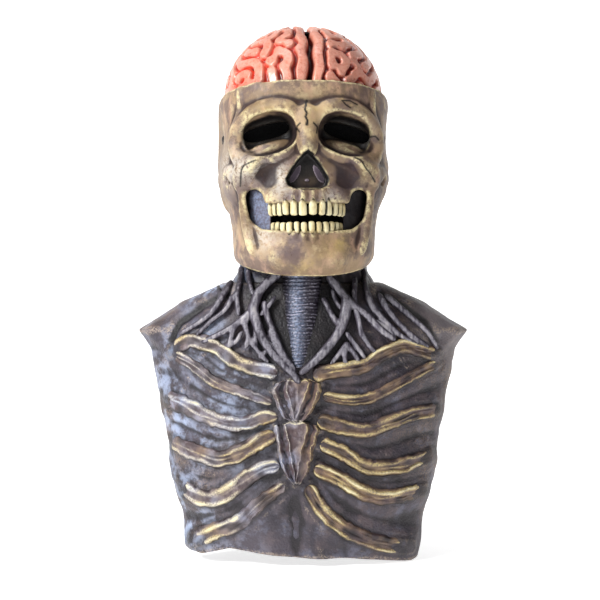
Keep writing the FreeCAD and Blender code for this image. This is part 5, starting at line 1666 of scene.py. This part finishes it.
# ---- stage ---------------------------------------------------------------------------------------------
def stand():
    """A plain pale floor and backdrop under and behind the object, soft lights and the camera."""
    floor_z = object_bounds()[0][2] - 0.0005
    mesh = bpy.data.meshes.new("floor")
    bend, depth, wide, tall = 3.6, 1.6, 6.0, 4.0
    profile = [(-depth * 2.5, 0.0)]
    profile += [(bend + 0.6 * math.sin(a), 0.6 - 0.6 * math.cos(a)) for a in np.linspace(0, math.pi / 2, 10)]
    profile += [(bend + 0.6, tall)]
    verts = [(side * wide, y, floor_z + z) for side in (-1, 1) for y, z in profile]
    count = len(profile)
    mesh.from_pydata(verts, [], [(k, k + 1, count + k + 1, count + k) for k in range(count - 1)])
    mesh.polygons.foreach_set("use_smooth", [True] * len(mesh.polygons))
    floor = bpy.data.objects.new("floor", mesh)
    bpy.context.scene.collection.objects.link(floor)
    s = Shader("pale backdrop", roughness=0.9)
    s.base.inputs["Emission Color"].default_value = (1, 1, 1, 1)
    s.base.inputs["Emission Strength"].default_value = 0.72
    mesh.materials.append(s.finish(linear(250, 250, 250)))

    world = bpy.data.worlds.new("studio")
    world.use_nodes = True
    nodes, links = world.node_tree.nodes, world.node_tree.links
    soft, seen = nodes["Background"], nodes.new("ShaderNodeBackground")
    for node, strength in ((soft, 0.15), (seen, 1.0)):
        node.inputs["Color"].default_value = (1, 1, 1, 1)
        node.inputs["Strength"].default_value = strength
    rays, either = nodes.new("ShaderNodeLightPath"), nodes.new("ShaderNodeMixShader")
    links.new(rays.outputs["Is Camera Ray"], either.inputs[0])
    links.new(soft.outputs[0], either.inputs[1])
    links.new(seen.outputs[0], either.inputs[2])
    links.new(either.outputs[0], nodes["World Output"].inputs[0])
    bpy.context.scene.world = world
    bpy.context.scene.view_settings.view_transform = "Standard"

    aim = (0, 0, -0.28)
    for name, place, size, power in (("key", (-1.45, -1.2, 0.8), 0.6, 52),
                                     ("top", (-0.3, -0.2, 1.5), 0.9, 12),
                                     ("fill", (1.3, -1.6, -0.1), 1.4, 1.2)):
        light = bpy.data.lights.new(name, "AREA")
        light.size, light.energy = size, power
        lamp = bpy.data.objects.new(name, light)
        lamp.location = place
        direction = [a - b for a, b in zip(aim, place)]
        lamp.rotation_euler = Vector(direction).to_track_quat("-Z", "Y").to_euler()
        bpy.context.scene.collection.objects.link(lamp)

    view = bpy.data.cameras.new("view")
    view.sensor_width, view.lens = 36, 85.9
    camera = bpy.data.objects.new("view", view)
    camera.location = (-0.00335, -1.6, -0.291)
    camera.rotation_euler = (math.radians(90), 0, 0)
    bpy.context.scene.collection.objects.link(camera)
    bpy.context.scene.camera = camera


# ---- run ---------------------------------------------------------------------------------------------------
teeth_rng = np.random.default_rng(5)
ivory = tooth_paint()
build_teeth("tooth_row_upper", UPPER, teeth_rng, "mask", "upper_teeth", ivory)
build_teeth("tooth_row_lower", LOWER, teeth_rng, "jaw", "lower_teeth", ivory)
build_head()
build_brain()
gristle = flesh_paint("purple grey gristle", linear(58, 48, 58), linear(138, 126, 134),
                      linear(160, 150, 154), 0.62)
sinew = flesh_paint("charcoal sinew", linear(58, 53, 62), linear(134, 130, 138), linear(168, 163, 166))
windpipe = flesh_paint("wet windpipe", linear(34, 29, 40), linear(176, 172, 190), linear(206, 208, 220), 0.34)
neck_skin = flesh_paint("neck latex", linear(46, 40, 46), linear(132, 124, 126), linear(150, 142, 140))
build_nose(gristle)
for side, name in ((-1, "cheek_web_left"), (1, "cheek_web_right")):
    build_web(side, name, gristle)
leather, rib_skin = leather_paint(), rib_paint()
build_neck(neck_skin)
build_bib(-1, "skin_chest", "chest_bib", leather)
build_bib(1, "skin_back", "back_bib", leather)
for seed, name in enumerate(BONES):
    build_bone(name, rib_skin, seed)
for seed, name in enumerate(PLATES):
    build_plate(name, rib_skin, 30 + seed)
build_trachea(windpipe)
for name in SINEWS:
    build_sinews(name, sinew)
webbing = webbing_paint("black woven tape", (52, 50, 54), 900)
pile = webbing_paint("black loop pile", (38, 37, 40), 2200)
for level, height, body in (("upper", -258.0, "upper_tab"), ("lower", -345.0, "lower_tab")):
    build_closure(level, height, body, pile, webbing)
build_screens(mesh_paint())
foam, plastic = foam_paint(), plastic_paint()
for node in ("crown_pad", "brow_pad", "temple_pad_left", "temple_pad_right", "chin_cup"):
    build_pad(node, "jaw" if node == "chin_cup" else "mask", foam)
paint_node("head_strap", webbing)
for name in ("left", "right"):
    paint_node("pivot_plate_" + name, plastic)
    paint_node("jaw_pin_" + name, plastic)
stand()
